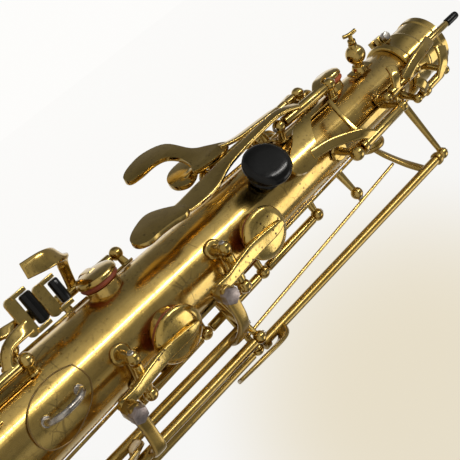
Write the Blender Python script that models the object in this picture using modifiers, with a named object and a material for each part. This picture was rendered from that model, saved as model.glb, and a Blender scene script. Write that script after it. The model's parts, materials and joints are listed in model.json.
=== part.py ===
"""Saxophone body assembly: tube, bow, bell, receiver, posts, guards and working keys.

Lengths are in millimetres in the instrument's own coordinates (Z up along the tube, azimuth 0 at the
back, azimuth positive toward the player's right) and are moved to metres from the strap ring's eye
when each object is made.
"""
import math

import bmesh
import bpy
from mathutils import Matrix, Vector

for ob in list(bpy.data.objects):
    bpy.data.objects.remove(ob)

SEG, CSEG, HSEG, TSEG, DSEG = 8, 14, 12, 22, 12   # faceting
BRES, LSEC, LSTEP, PSTEP, RCORN, BOWN, FEET = 1, 6, 1, 1, 1, 7, False
BELL_F = (0.3, 0.6, 0.75, 0.86, 0.93, 0.975, 1.0)

# ---- driving constants, millimetres, before the shift to the row origin ----
TOP_Z = 545.0          # top of the neck receiver
RECV_Z = 515.0         # bottom of the neck receiver
FOOT_Z = 30.0          # bottom of the straight body tube
R_TOP = 12.9           # tube radius extrapolated to TOP_Z
TAPER = 0.0272         # radius gained per millimetre downward
WALL = 1.2
BELL_Y = 98.0          # tube axis to bell axis, toward the front
BELL_R0 = 32.0         # bell throat radius
BELL_TOP = 262.0       # bell rim height
RIM_R = 61.5
STRAP_Z = 278.6
GAP = 0.3
ROD_R = 2.4            # long rod radius
TUBE_R = 2.1           # short hinge tube radius
BALL_R = 3.1           # post ball radius
SIDE_C = dict(az=19.0, half=23.0, z=369.3, r=26.5, cup_az=17.0, cup_z=391.0, cup_r=11.8, tail_z=353.5)
SIDE_BB = dict(az=30.0, half=22.0, z=309.0, r=28.3, cup_az=28.0, cup_z=332.0, cup_r=12.6, tail_z=294.5)
ROD_E = (82.0, 46.4)   # azimuth, radius of the three long rods
ROD_B = (68.0, 42.6)
ROD_A = (72.0, 34.4)
THUMB = (-33.0, 412.5)


def R(z):
    return R_TOP + TAPER * (TOP_Z - z)


def er(az):
    a = math.radians(az)
    return Vector((-math.sin(a), math.cos(a), 0.0))


def et(az):
    a = math.radians(az)
    return Vector((-math.cos(a), -math.sin(a), 0.0))


EZ = Vector((0.0, 0.0, 1.0))


def P(az, r, z):
    return er(az) * r + EZ * z


def Q(az, h, z):
    """Point h above the tube wall."""
    return P(az, R(z) + h, z)


ORIGIN = P(0.0, R(STRAP_Z) + 5.2, STRAP_Z)


def mesh_from_bm(bm):
    me = bpy.data.meshes.new("m")
    bmesh.ops.recalc_face_normals(bm, faces=bm.faces)
    bm.to_mesh(me)
    bm.free()
    return me


def frame(a, d, x=None):
    d = Vector(d).normalized()
    if x is None:
        x = EZ if abs(d.z) < 0.9 else Vector((1.0, 0.0, 0.0))
    x = Vector(x)
    x = (x - d * x.dot(d)).normalized()
    y = d.cross(x)
    m = Matrix((x, y, d)).transposed().to_4x4()
    m.translation = Vector(a)
    return m


def cone(a, b, r1, r2=None, seg=None, x=None):
    a, b = Vector(a), Vector(b)
    r2 = r1 if r2 is None else r2
    bm = bmesh.new()
    bmesh.ops.create_cone(bm, cap_ends=True, segments=seg or SEG, radius1=r1, radius2=r2, depth=(b - a).length)
    m = frame((a + b) / 2, b - a, x)
    bmesh.ops.transform(bm, matrix=m, verts=bm.verts)
    return mesh_from_bm(bm)


def ball(c, r, seg=None):
    bm = bmesh.new()
    s = seg or SEG
    bmesh.ops.create_uvsphere(bm, u_segments=s, v_segments=max(5, s // 2), radius=r)
    bmesh.ops.transform(bm, matrix=frame(c, EZ), verts=bm.verts)
    return mesh_from_bm(bm)


def box(c, d, x, size):
    """Box centred at c; size along x, the third direction and d."""
    bm = bmesh.new()
    bmesh.ops.create_cube(bm, size=1.0)
    bmesh.ops.transform(bm, matrix=frame(c, d, x) @ Matrix.Diagonal((size[0], size[1], size[2], 1.0)), verts=bm.verts)
    return mesh_from_bm(bm)


def evaluated(ob, m):
    dg = bpy.context.evaluated_depsgraph_get()
    me = bpy.data.meshes.new_from_object(ob.evaluated_get(dg))
    bm = bmesh.new()
    bm.from_mesh(me)
    bmesh.ops.remove_doubles(bm, verts=bm.verts, dist=0.0005)
    bmesh.ops.transform(bm, matrix=m, verts=bm.verts)
    data = ob.data
    bpy.data.objects.remove(ob)
    (bpy.data.curves if isinstance(data, bpy.types.Curve) else bpy.data.meshes).remove(data)
    bpy.data.meshes.remove(me)
    return mesh_from_bm(bm)


def lathe(a, d, profile, seg=None, x=None):
    """Turned body: profile of (radius, height along d) that starts and ends on the axis, or a closed ring."""
    closed = profile[0][0] > 0 and profile[-1][0] > 0
    me = bpy.data.meshes.new("prof")
    n = len(profile)
    me.from_pydata([(r, 0.0, h) for r, h in profile], [(i, i + 1) for i in range(n - 1)] + ([(n - 1, 0)] if closed else []), [])
    ob = bpy.data.objects.new("prof", me)
    bpy.context.scene.collection.objects.link(ob)
    mod = ob.modifiers.new("turn", "SCREW")
    mod.steps = mod.render_steps = seg or SEG
    mod.axis = "Z"
    mod.use_merge_vertices = True
    mod.merge_threshold = 0.0001
    return evaluated(ob, frame(a, d, x))


def wire(pts, r, res=None, cyclic=False):
    """Round wire along a polyline."""
    cu = bpy.data.curves.new("wire", "CURVE")
    cu.dimensions = "3D"
    cu.bevel_depth = r
    cu.bevel_resolution = BRES if res is None else res
    cu.use_fill_caps = not cyclic
    sp = cu.splines.new("POLY")
    sp.points.add(len(pts) - 1)
    for p, q in zip(sp.points, pts):
        p.co = (*q, 1.0)
    sp.use_cyclic_u = cyclic
    ob = bpy.data.objects.new("wire", cu)
    bpy.context.scene.collection.objects.link(ob)
    return evaluated(ob, Matrix.Identity(4))


def plate(c, d, x, outline, th):
    """Flat plate of thickness th centred on c, its face normal d, outline in the (x, d cross x) plane."""
    cu = bpy.data.curves.new("plate", "CURVE")
    cu.dimensions = "2D"
    cu.fill_mode = "BOTH"
    cu.extrude = th / 2
    sp = cu.splines.new("POLY")
    sp.points.add(len(outline) - 1)
    for p, q in zip(sp.points, outline):
        p.co = (q[0], q[1], 0.0, 1.0)
    sp.use_cyclic_u = True
    ob = bpy.data.objects.new("plate", cu)
    bpy.context.scene.collection.objects.link(ob)
    return evaluated(ob, frame(c, d, x))


def smooth_path(rows, n):
    """Catmull-Rom through rows of numbers, n steps a span."""
    if n <= 1:
        return rows
    out = []
    k = len(rows)
    for i in range(k - 1):
        p0, p1, p2, p3 = rows[max(i - 1, 0)], rows[i], rows[i + 1], rows[min(i + 2, k - 1)]
        for j in range(n):
            t = j / n
            out.append([0.5 * (2 * b + (c - a) * t + (2 * a - 5 * b + 4 * c - d) * t * t + (3 * b - a - 3 * c + d) * t ** 3) for a, b, c, d in zip(p0, p1, p2, p3)])
    out.append(list(rows[-1]))
    return out


def loft(rows, power=None, hollow=0.0):
    """Bar with unlike sections. Each row: point, face normal, width, thickness."""
    flat = [[*p, *nn, w, t] for p, nn, w, t in rows]
    flat = smooth_path(flat, LSTEP)
    pts = [Vector(f[:3]) for f in flat]
    bm = bmesh.new()
    rings = []
    k = len(pts)
    for i in range(k):
        tang = (pts[min(i + 1, k - 1)] - pts[max(i - 1, 0)]).normalized()
        nn = Vector(flat[i][3:6])
        nn = (nn - tang * nn.dot(tang)).normalized()
        side = tang.cross(nn)
        w, t = max(flat[i][6], 0.2) / 2, max(flat[i][7], 0.2) / 2
        ring = []
        for s in range(LSEC):
            a = 2 * math.pi * (s + 0.5) / LSEC
            c, q = math.cos(a), math.sin(a)
            e = power or 0.55
            cx = math.copysign(abs(c) ** e, c)
            cy = math.copysign(abs(q) ** e, q)
            dish = -hollow * (1 - cx * cx) if q > 0 else 0.0
            ring.append(bm.verts.new(pts[i] + side * (w * cx) + nn * (t * cy + dish)))
        rings.append(ring)
    for r1, r2 in zip(rings, rings[1:]):
        for s in range(LSEC):
            bm.faces.new((r1[s], r1[(s + 1) % LSEC], r2[(s + 1) % LSEC], r2[s]))
    bm.faces.new(list(reversed(rings[0])))
    bm.faces.new(rings[-1])
    return mesh_from_bm(bm)


def arc(az1, az2, h, z1, z2, n):
    return [Q(az1 + (az2 - az1) * i / n, h, z1 + (z2 - z1) * i / n) for i in range(n + 1)]


def saddle(az1, az2, z, r=0.8):
    """Thin wire saddle that joins the feet of one post set, clear of the tube wall."""
    n = max(3, int(abs(az2 - az1) / 12))
    lift = (R(z) + r + GAP + 0.1) / math.cos(math.radians(abs(az2 - az1) / n / 2)) - R(z)
    return wire(arc(az1, az2, lift, z, z, n), r, 1)


def rib(az, z1, z2, w=5.0, th=1.2):
    """Flat rib along the tube, clear of the wall."""
    a, b = Q(az, GAP + th / 2 + 0.1, z1), Q(az, GAP + th / 2 + 0.1, z2)
    return box((a + b) / 2, er(az) * 1.0 + EZ * TAPER, b - a, ((b - a).length, w, th))


def post(az, r, z, foot=3.6, ball_r=None, foot_az=None, foot_z=None):
    """Turned post from a small foot just off the wall out to a ball at radius r."""
    fa, fz = az if foot_az is None else foot_az, z if foot_z is None else foot_z
    n = er(fa)
    base = Q(fa, GAP + 0.25, fz)
    top = P(az, r, z)
    out = [cone(base, top, 2.1, 1.35), ball(top, ball_r or BALL_R)]
    if foot > 4.0 or FEET:
        out.append(cone(base, base + n * 1.0, foot, foot * 0.8))
    return out


def hinge_tube(a, b, r=None, cut=None):
    """Tube between two post balls, short of each by the running gap."""
    a, b = Vector(a), Vector(b)
    d = (b - a).normalized()
    c = (BALL_R if cut is None else cut) + GAP
    return cone(a + d * c, b - d * c, r or TUBE_R)


def cup(az, z, h, r, axis=None, centre=None):
    """Domed key cup whose underside is h above the wall."""
    d = er(az) if axis is None else axis
    c = Q(az, h, z) if centre is None else centre
    return lathe(c, d, [(0.0, 3.6), (r * 0.35, 3.5), (r * 0.72, 3.0), (r * 0.93, 2.2), (r, 1.2), (r, 0.0), (0.0, 0.0)], CSEG)


def disc(az, z, h, r, th, axis=None, centre=None):
    d = er(az) if axis is None else axis
    c = Q(az, h, z) if centre is None else centre
    return cone(c, c + d * th, r, r, CSEG)


# ---- static parts ----
HOLES = [  # azimuth, height, hole radius, chimney top above the wall
    (SIDE_C["cup_az"], SIDE_C["cup_z"], 8.2, 2.6), (SIDE_BB["cup_az"], SIDE_BB["cup_z"], 9.0, 2.6),
    (-84.0, 480.0, 5.2, 2.4), (-125.0, 470.0, 5.6, 2.4), (-144.0, 442.0, 6.2, 2.4), (106.0, 484.0, 5.2, 2.4),
    (-82.0, 327.0, 7.8, 2.6), (-34.0, 116.0, 12.0, 2.6), (-8.0, 66.0, 11.5, 2.6),
    (138.0, 408.0, 8.0, 2.6), (138.0, 372.0, 8.6, 2.6), (138.0, 330.0, 9.6, 2.6),
    (140.0, 232.0, 10.5, 2.6), (140.0, 184.0, 11.5, 2.6), (140.0, 132.0, 12.5, 2.6), (84.0, 74.0, 11.5, 2.6),
]


def body_tube():
    top = RECV_Z - GAP
    adds = [lathe((0, 0, 0), EZ, [(0.0, top), (R(top), top), (R(FOOT_Z), FOOT_Z), (0.0, FOOT_Z)], TSEG)]
    cuts = [lathe((0, 0, 0), EZ, [(0.0, top + 1), (R(top + 1) - WALL, top + 1), (R(FOOT_Z - 1) - WALL, FOOT_Z - 1), (0.0, FOOT_Z - 1)], TSEG)]
    for az, z, r, h in HOLES:
        low = math.sqrt(R(z) ** 2 - min(r, R(z) * 0.9) ** 2) - 1.5
        adds.append(cone(P(az, low, z), Q(az, h, z), r, r, HSEG))
        cuts.append(cone(P(az, 1.0, z), Q(az, h + 1.0, z), r - WALL, r - WALL, HSEG))
    return adds, cuts


def neck_receiver():
    z0, z1 = RECV_Z, TOP_Z
    prof = [(12.2, z0), (15.0, z0), (15.6, z0 + 1.0), (15.6, z0 + 3.0), (14.9, z0 + 4.0), (14.2, z0 + 4.6), (14.2, z0 + 13.0), (14.6, z0 + 13.6), (14.6, z0 + 15.4), (14.2, z0 + 16.0), (14.3, z1 - 4.6), (14.9, z1 - 3.8), (14.9, z1 - 0.4), (14.6, z1), (12.2, z1)]
    adds = [lathe((0, 0, 0), EZ, prof, TSEG)]
    for s in (-1, 1):
        adds.append(box(P(-96, 15.6, 522.5) + et(-96) * s * 2.6, er(-96), EZ, (7.0, 3.4, 5.6)))
    adds += [cone(P(30, 13.4, 527.0), P(30, 24.0, 527.0), 1.9, 1.3), ball(P(30, 24.0, 527.0), 2.4)]
    cuts = [box(P(-96, 14.0, 535.0), er(-96), EZ, (32.0, 1.2, 16.0)), cone(P(-96, 16.4, 522.5) - et(-96) * 8, P(-96, 16.4, 522.5) + et(-96) * 8, 1.35, 1.35, 12)]
    return adds, cuts


def neck_screw():
    c = P(-96, 16.4, 522.5)
    t = et(-96)
    return [cone(c - t * 5.4, c + t * 5.2, 1.0, 1.0, 12), cone(c + t * 4.7, c + t * 7.6, 2.4, 2.1, 12)], []


def bow_rings(r0, r1, n, extra):
    rings = []
    for i in range(n + 1):
        a = math.pi * i / n
        r = r0 + (r1 - r0) * i / n + extra
        c = Vector((0.0, -BELL_Y / 2 + BELL_Y / 2 * math.cos(a), FOOT_Z - GAP / 2 - BELL_Y / 2 * math.sin(a)))
        out = Vector((0.0, math.cos(a), -math.sin(a)))
        rings.append((c, out, r))
    return rings


def swept_shell(rings_out, rings_in, seg):
    """Closed wall between an outer and an inner sweep of circles."""
    bm = bmesh.new()
    grid = []
    for rings in (rings_out, rings_in):
        rows = []
        for c, out, r in rings:
            rows.append([bm.verts.new(c + out * (r * math.cos(2 * math.pi * s / seg)) + Vector((1, 0, 0)) * (r * math.sin(2 * math.pi * s / seg))) for s in range(seg)])
        grid.append(rows)
    for rows in grid:
        for r1, r2 in zip(rows, rows[1:]):
            for s in range(seg):
                bm.faces.new((r1[s], r1[(s + 1) % seg], r2[(s + 1) % seg], r2[s]))
    for k in (0, -1):
        a, b = grid[0][k], grid[1][k]
        for s in range(seg):
            bm.faces.new((a[s], a[(s + 1) % seg], b[(s + 1) % seg], b[s]))
    return mesh_from_bm(bm)


def bow():
    r0, r1 = R(FOOT_Z), BELL_R0
    adds = [swept_shell(bow_rings(r0, r1, BOWN, 0.0), bow_rings(r0, r1, BOWN, -WALL), TSEG)]
    return adds, []


def bow_ring(y, r):
    z = FOOT_Z
    return [lathe((0, y, 0), EZ, [(r + GAP, z + 0.8), (r + 1.4, z + 0.8), (r + 2.0, z + 1.8), (r + 2.0, z + 6.0), (r + 1.4, z + 7.0), (r + GAP, z + 7.0)], TSEG)], []


def bell_radius(z):
    t = max(0.0, min(1.0, (z - FOOT_Z) / (BELL_TOP - FOOT_Z)))
    return BELL_R0 + 9.0 * t + (RIM_R - BELL_R0 - 9.0) * t ** 7


def bell():
    zs = [FOOT_Z + GAP] + [FOOT_Z + (BELL_TOP - FOOT_Z) * f for f in BELL_F]
    outer = [(bell_radius(z), z) for z in zs]
    outer[0] = (outer[0][0] - 0.0, outer[0][1])
    rim = [(RIM_R + 1.2, BELL_TOP - 1.6), (RIM_R + 1.9, BELL_TOP), (RIM_R + 1.0, BELL_TOP + 1.5), (RIM_R - 0.6, BELL_TOP + 1.2)]
    inner = [(bell_radius(z) - WALL, z) for z in reversed(zs)]
    adds = [lathe((0, -BELL_Y, 0), EZ, outer + rim + inner, TSEG)]
    cuts = []
    for z, r in ((112.0, 14.0), (168.0, 15.5)):
        x = -(bell_radius(z) - 8.0)
        adds.append(cone((bell_radius(z) * 0.80, -BELL_Y, z), (43.0, -BELL_Y, z), r, r, HSEG))
        cuts.append(cone((5.0, -BELL_Y, z), (44.0, -BELL_Y, z), r - WALL, r - WALL, HSEG))
    bore = lathe((0, -BELL_Y, 0), EZ, [(0.0, BELL_TOP + 3)] + [(bell_radius(z) - WALL, z) for z in [BELL_TOP + 3] + list(reversed(zs)) + [FOOT_Z - 1]] + [(0.0, FOOT_Z - 1)], TSEG)
    return adds, [bore] + cuts


def bell_brace():
    z = 190.0
    rb = bell_radius(z)
    n1, n2 = er(200.0), Vector((-er(200.0).x * -1.0, -er(200.0).y, 0.0))
    f1 = n1 * (R(z) + 1.7) + EZ * z
    f2 = Vector((0.0, -BELL_Y, z)) + n2 * (rb + 2.8)
    adds = [box(f1, n1, EZ, (12.0, 10.0, 1.6)), box(f2, n2, EZ, (10.0, 12.0, 1.6)), box((f1 + f2) / 2, (1, 0, 0), f2 - f1, ((f2 - f1).length + 0.6, 6.0, 3.6))]
    return adds, []


def lyre_holder():
    az, z = -64.0, 495.5
    n = er(az)
    b = Q(az, GAP + 0.5, z)
    adds = [box(b + n * 0.5, n, EZ, (13.0, 6.0, 1.2)), cone(b, b + n * 3.2, 4.2, 3.2), cone(b + n * 2.6, b + n * 6.5, 2.4, 2.4),
            ball(b + n * 9.0, 4.9), cone(b + n * 12.8, b + n * 15.0, 2.4, 2.1)]
    c = b + n * 9.0
    cuts = [cone(c - EZ * 6, c + EZ * 6, 1.7, 1.7, 12), cone(c, c + n * 9.0, 1.25, 1.25, 12)]
    return adds, cuts


def lyre_screw():
    az, z = -64.0, 495.5
    n = er(az)
    c = Q(az, GAP + 9.5, z)
    t = (EZ + et(az) * 0.25).normalized()
    adds = [cone(c + n * 2.2, c + n * 9.6, 0.95, 0.95, 12), cone(c + n * 6.4, c + n * 8.0, 2.0, 2.0), cone(c + n * 7.6, c + n * 11.0, 1.1, 1.1), wire([c + n * 11.4 - t * 3.7, c + n * 11.0 - t * 1.8, c + n * 10.9, c + n * 11.0 + t * 1.8, c + n * 11.4 + t * 3.7], 1.0)]
    return adds, []


SHIELD = [(291.8, -26.0), (293.0, -12.0), (292.6, 2.0), (288.6, 19.0), (281.0, 33.0), (274.0, 40.0), (266.0, 30.0), (262.6, 14.0), (263.6, -8.0), (269.0, -24.0), (277.0, -32.5), (285.0, -32.5)]


def strap_ring():
    az0 = 3.0
    lo, hi = 258.0, 298.0
    shell = lathe((0, 0, 0), EZ, [(R(hi) + GAP, hi), (R(hi) + 1.3, hi), (R(lo) + 1.3, lo), (R(lo) + GAP, lo)], TSEG * 2)
    out = [(z - 278.0, -R(z) * math.sin(math.radians(a - az0))) for z, a in SHIELD]
    out = [tuple(v) for v in smooth_path([list(o) for o in out + out[:1]], PSTEP)[:-1]]
    prism = plate(P(az0, 18.0, 278.0), er(az0), EZ, out, 24.0)
    zt, zb = 287.0, 270.0
    pts = [Q(0, 0.9, zt), Q(0, 4.6, zt + 0.2), Q(0.5, 7.4, zt - 1.8), Q(1, 8.9, zt - 5.0), Q(1, 9.3, (zt + zb) / 2), Q(1, 8.9, zb + 5.0), Q(0.5, 7.4, zb + 1.8), Q(0, 4.6, zb - 0.2), Q(0, 0.9, zb)]
    pts = [Vector(v) for v in smooth_path([list(p) for p in pts], max(1, LSTEP // 2))]
    return [("intersect", shell, prism), wire(pts, 1.45), cone(Q(0, 0.8, zt), Q(0, 2.2, zt), 2.6, 2.2), cone(Q(0, 0.8, zb), Q(0, 2.2, zb), 2.6, 2.2)], []


def thumb_rest():
    az, z = THUMB
    n = er(az)
    b = Q(az, GAP + 0.4, z)
    prof = [(0.0, 12.2), (5.0, 12.1), (8.4, 11.6), (10.2, 10.6), (11.1, 9.2), (11.1, 7.8), (10.4, 7.0), (6.2, 6.6), (5.4, 3.6), (6.6, 2.0), (7.6, 1.0), (7.6, 0.0), (0.0, 0.0)]
    return [lathe(b, n, prof, CSEG)], []


def thumb_hook():
    az, z = -6.0, 172.0
    n, t = er(az), et(az)
    b = Q(az, GAP + 0.9, z)
    adds = [box(b, n, EZ, (26.0, 11.0, 1.4)), cone(b, b + n * 4.0, 3.4, 3.0),
            loft([(b + EZ * 9, EZ, 9, 2.4), (b + EZ * 10.5 + n * 7, EZ, 11, 2.4), (b + EZ * 9 + n * 15, EZ + n * 0.4, 13, 2.4), (b + EZ * 3 + n * 22, n + EZ * 0.5, 13, 2.2), (b - EZ * 7 + n * 24, n, 11, 2.0)])]
    return adds, []


def palm_posts():
    adds = []
    for az, r, z in ((-62, 23.6, 436.0), (-60, 22.6, 472.0), (-95, 24.4, 434.0), (-95, 24.0, 464.0), (-112, 24.8, 402.0), (-112, 24.8, 432.0)):
        adds += post(az, r, z, 3.0)
    adds += [rib(-61, 433.0, 475.0, 3.4), rib(-95, 431.0, 467.0, 3.2), rib(-112, 399.0, 435.0, 3.2), saddle(-61, -112, 433.5)]
    return adds, []


def side_c_posts():
    s = SIDE_C
    adds = []
    for k, fa in ((-1, s["az"] - s["half"] - 4), (1, s["az"] + s["half"] + 3)):
        adds += post(s["az"] + k * s["half"], s["r"], s["z"], 4.6 if k < 0 else 3.4, foot_az=fa)
    adds.append(saddle(s["az"] - s["half"] - 4, s["az"] + s["half"] + 3, s["z"]))
    return adds, []


def side_bb_posts():
    s = SIDE_BB
    adds = []
    for k, fa in ((-1, s["az"] - s["half"] - 3), (1, s["az"] + s["half"] + 3)):
        adds += post(s["az"] + k * s["half"], s["r"], s["z"], 4.8 if k < 0 else 3.6, foot_az=fa)
    adds.append(saddle(s["az"] - s["half"] - 3, s["az"] + s["half"] + 3, s["z"]))
    return adds, []


ROD_LOW = 238.0


def side_rod_posts():
    adds = []
    for z in (508.0, 362.0, 230.0):
        adds += post(ROD_E[0], ROD_E[1], z, 4.0, 3.0, foot_az=77)
    for z in (362.0, 230.0):
        adds += post(ROD_A[0], ROD_A[1], z, 3.6, 2.7, foot_az=76)
    for z in (362.0, 230.0):
        adds += post(ROD_B[0], ROD_B[1], z, 3.6, 3.0, foot_az=75)
    adds.append(rib(76, 226.0, 512.0, 3.2, 1.4))
    adds += post(77, 29.4, 452.0, 3.6, 3.0)
    adds.append(loft([(P(78.3, 32.1, 479.0), er(60), 3.0, 1.5), (P(79.2, 34.2, 446.0), er(60), 3.2, 1.5), (P(80.2, 38.0, 381.5), er(60), 3.2, 1.5), (P(80.8, 39.4, 361.5), er(60), 3.2, 1.5)]))
    adds.append(cone(P(77, 29.4, 452.0), P(79, 33.8, 452.0), 1.4, 1.2))
    return adds, []


def upper_stack_posts():
    adds = []
    for z in (432.0, 351.0, 306.0, 391.0):
        adds += post(92, R(z) + 8.5, z, 3.2)
    adds.append(rib(92, 302.0, 436.0, 5.0))
    return adds, []


def lower_stack_posts():
    adds = []
    for z in (256.0, 208.0, 158.0, 106.0):
        adds += post(96, R(z) + 8.5, z, 3.2)
    adds.append(rib(96, 102.0, 260.0, 4.0))
    return adds, []


def octave_posts():
    adds = []
    adds += post(21, 27.0, 452.0, 5.4, 3.5)
    adds += post(21, 25.6, 490.0, 3.2, 2.7)
    adds += post(5, 20.9, 488.0, 2.8, 2.4)
    adds += post(5, 20.2, 513.0, 2.8, 2.4, foot_z=511.0)
    adds += [rib(21, 447.0, 493.0, 4.0), rib(5, 484.5, 513.4, 4.0), saddle(5, 21, 489.0)]
    return adds, []


def table_posts():
    adds = []
    for az, z, h in ((-112, 345.0, 7.5), (-112, 313.0, 7.5), (-70, 60.0, 8.0), (-70, 280.0, 8.0), (-50, 226.0, 8.0), (-50, 280.0, 8.0), (-34, 196.0, 8.0), (-34, 256.0, 8.0)):
        adds += post(az, R(z) + h, z, 3.0)
    adds += [rib(-112, 276.0, 348.0, 4.0), rib(-70, 56.0, 284.0, 4.0), rib(-50, 223.0, 283.0, 4.0), rib(-34, 193.0, 259.0, 4.0), saddle(-34, -70, 240.0), saddle(-70, -112, 281.0)]
    return adds, []


def bell_key_posts():
    adds = []
    y = -BELL_Y + 31.0
    for z in (86.0, 140.0, 194.0):
        rb = bell_radius(z)
        foot = Vector((rb * 0.80, -BELL_Y + rb * 0.6, z))
        n = Vector((0.80, 0.6, 0.0))
        base = foot + n * (GAP + 0.3)
        adds += [cone(base, base + n * 1.0, 3.4, 3.0), cone(base + n * 0.6, (46.5, y, z), 2.0, 1.5), ball((46.5, y, z), BALL_R)]
    pts = [Vector(((bell_radius(z) + 1.6) * 0.80, -BELL_Y + (bell_radius(z) + 1.6) * 0.6, z)) for z in (84.0, 140.0, 196.0)]
    adds.append(wire(pts, 1.0, 1))
    return adds, []


def low_key_posts():
    adds = []
    for z in (54.0, 94.0):
        adds += post(52, R(z) + 8.5, z, 3.2)
    adds += [rib(52, 50.0, 98.0, 4.5)]
    for z in (44.0, 150.0):
        adds += post(24, R(z) + 8.5, z, 3.2)
    adds += [rib(24, 40.0, 154.0, 4.5), saddle(24, 52, 60.0)]
    return adds, []




# ---- moving parts: each returns adds, cuts, pivot, axis ----
PAD_H = 2.9        # pad underside above the wall when a key is closed
PAD_T = 2.4


def zpivot(az, r, z):
    return P(az, r, z)


def key_cup(az, z, h, r):
    t = PAD_T
    return [lathe(Q(az, h, z), er(az), [(0.0, t + 3.6), (r * 0.4, t + 3.5), (r * 0.76, t + 3.0), (r * 0.94, t + 2.2), (r, t + 1.2), (r, t), (r * 0.9, t), (r * 0.9, 0.0), (0.0, 0.0)], CSEG)]


def arm_rows(points, w0, w1, th):
    """points of (azimuth, radius, height)."""
    n = len(points)
    return [(P(a, r, z), er(a), w0 + (w1 - w0) * i / (n - 1), th) for i, (a, r, z) in enumerate(points)]


def bridge(az_h, r_h, az_c, z, h_top, w=4.6, th=2.4, z_h=None):
    """Arm from a hinge tube across to the crown of its cup."""
    zh = z if z_h is None else z_h
    mid = az_h + (az_c - az_h) * 0.42
    return loft(arm_rows([(az_h, r_h + 0.6, zh), (mid, max(r_h + 1.4, R(z) + h_top - 0.4), (z + zh) / 2), (az_c, R(z) + h_top, z)], w + 1.2, w - 0.6, th))


def outline(pts):
    """Round a closed outline with a curve through its points."""
    n = max(1, PSTEP - 1)
    k = len(pts)
    if n == 1:
        return pts
    rows = smooth_path([list(pts[(i - 1) % k]) for i in range(k + 3)], n)
    return [tuple(v) for v in rows[n:n * (k + 1)]]


def palm_f():
    a, b = P(-62, 23.6, 436.0), P(-60, 22.6, 472.0)
    adds = [hinge_tube(a, b, 2.6), cup(-84, 480.0, PAD_H + PAD_T + 0.3, 7.2), loft(arm_rows([(-61, 24.2, 464.0), (-72, 24.6, 470.0), (-84, R(480) + 8.2, 480.0)], 5.0, 4.0, 2.2)),
            loft([(P(-62, 25.2, 450.0), er(-62), 5.0, 2.2), (P(-63.5, 28.3, 441.0), er(-63), 5.0, 2.2), (P(-65.5, 28.5, 431.0), er(-65), 5.0, 2.2), (P(-67, 26.8, 405.0), er(-64), 6.4, 2.2), (P(-63, 25.8, 389.0), er(-60), 11.0, 2.2), (P(-59, 26.8, 374.0), er(-60), 10.0, 2.2), (P(-58, 29.4, 365.0), er(-62), 7.0, 2.0), (P(-58, 30.6, 357.0), er(-62), 7.0, 2.0)]),
            plate(P(-58, 31.0, 350.0), er(-62), EZ, outline([(20.0, -5.0), (14.8, 3.1), (8.0, 8.0), (-1.0, 6.0), (-6.6, 2.0), (-7.1, -3.0), (-3.2, -6.3), (3.5, -6.6), (10.4, -7.5), (16.5, -9.1)]), 2.4)]
    return adds, [], a, (b - a).normalized()


def palm_d():
    a, b = P(-95, 24.4, 434.0), P(-95, 24.0, 464.0)
    adds = [hinge_tube(a, b), *key_cup(-125, 470.0, PAD_H, 7.4), bridge(-95, 24.2, -125, 470.0, 8.4, z_h=453.0),
            loft(arm_rows([(-94, 25.6, 446.0), (-84, 26.6, 444.0), (-81, 27.6, 434.0), (-83, 28.6, 419.0), (-87, 30.6, 410.0)], 4.6, 6.0, 2.0)),
            plate(P(-90, 31.0, 410.0), er(-58), EZ, outline([(4.0, -3.5), (-1.5, 3.5), (-6.2, 9.6), (-9.0, 24.0), (-19.0, 29.4), (-29.5, 28.4), (-35.6, 25.0), (-36.0, 20.2), (-29.9, 18.8), (-21.6, 18.8), (-16.4, 16.4), (-14.0, 9.4), (-15.2, 2.0), (-18.0, -3.2), (-12.0, -5.5), (-3.0, -6.4)]), 2.4)]
    return adds, [], a, EZ


EB_LEAF = [(16.1, 8.7), (17.2, 3.0), (13.0, -4.5), (5.1, -7.6), (0.7, -3.4), (1.8, 3.7), (7.7, 8.4)]


def palm_eb():
    a, b = P(-112, 24.8, 402.0), P(-112, 24.8, 432.0)
    adds = [hinge_tube(a, b), *key_cup(-144, 442.0, PAD_H, 8.0), bridge(-112, 24.8, -144, 442.0, 8.4, z_h=418.0),
            loft([(P(-111, 26.2, 416.0), er(-110), 5.0, 2.2), (P(-106, 29.0, 411.0), er(-104), 5.4, 2.2), (P(-107, 30.3, 401.0), er(-92), 6.0, 2.2), (P(-109, 30.6, 392.0), er(-66), 7.0, 2.2)]),
            plate(P(-110, 31.0, 385.0), er(-62), EZ, outline(EB_LEAF), 2.4)]
    return adds, [], a, EZ


def seesaw(s, lift):
    """Side key cup on a hinge across the tube; its tail is pushed by the long lever."""
    a = P(s["az"] - s["half"], s["r"], s["z"])
    b = P(s["az"] + s["half"], s["r"], s["z"])
    rc = (a + b).length / 2
    mid = (a + b) / 2
    hr = Vector((mid.x, mid.y, 0)).length
    top = R(s["cup_z"]) + PAD_H + PAD_T + 0.3
    adds = [hinge_tube(a, b, 2.3), cup(s["cup_az"], s["cup_z"], PAD_H + PAD_T + 0.3, s["cup_r"])]
    ca = s["cup_az"]
    adds.append(loft([(P(ca, top + 4.0, s["cup_z"] + s["cup_r"] * 0.72), er(ca), 2.4, 1.4), (P(ca, top + 4.3, s["cup_z"] + 3.0), er(ca), 5.4, 2.2), (P(ca, top + 3.8, s["cup_z"] - s["cup_r"] * 0.8), er(ca), 6.8, 2.4),
                      (P((ca + s["az"]) / 2, hr + 2.6, s["z"] + 2.0), er(ca), 6.6, 3.0), (P(s["az"] - 1, hr + 4.4, s["z"] - 7.0), er(ca), 5.6, 2.6), (P(s["az"] - 2, hr + 4.6, s["tail_z"]), er(ca), 5.0, 2.4)]))
    adds.append(cone(P(s["az"] - 2, hr + 4.2, s["tail_z"]), P(s["az"] - 2, hr + 6.8, s["tail_z"]), 2.6, 2.4))
    return adds, [], a, (b - a).normalized()


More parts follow.
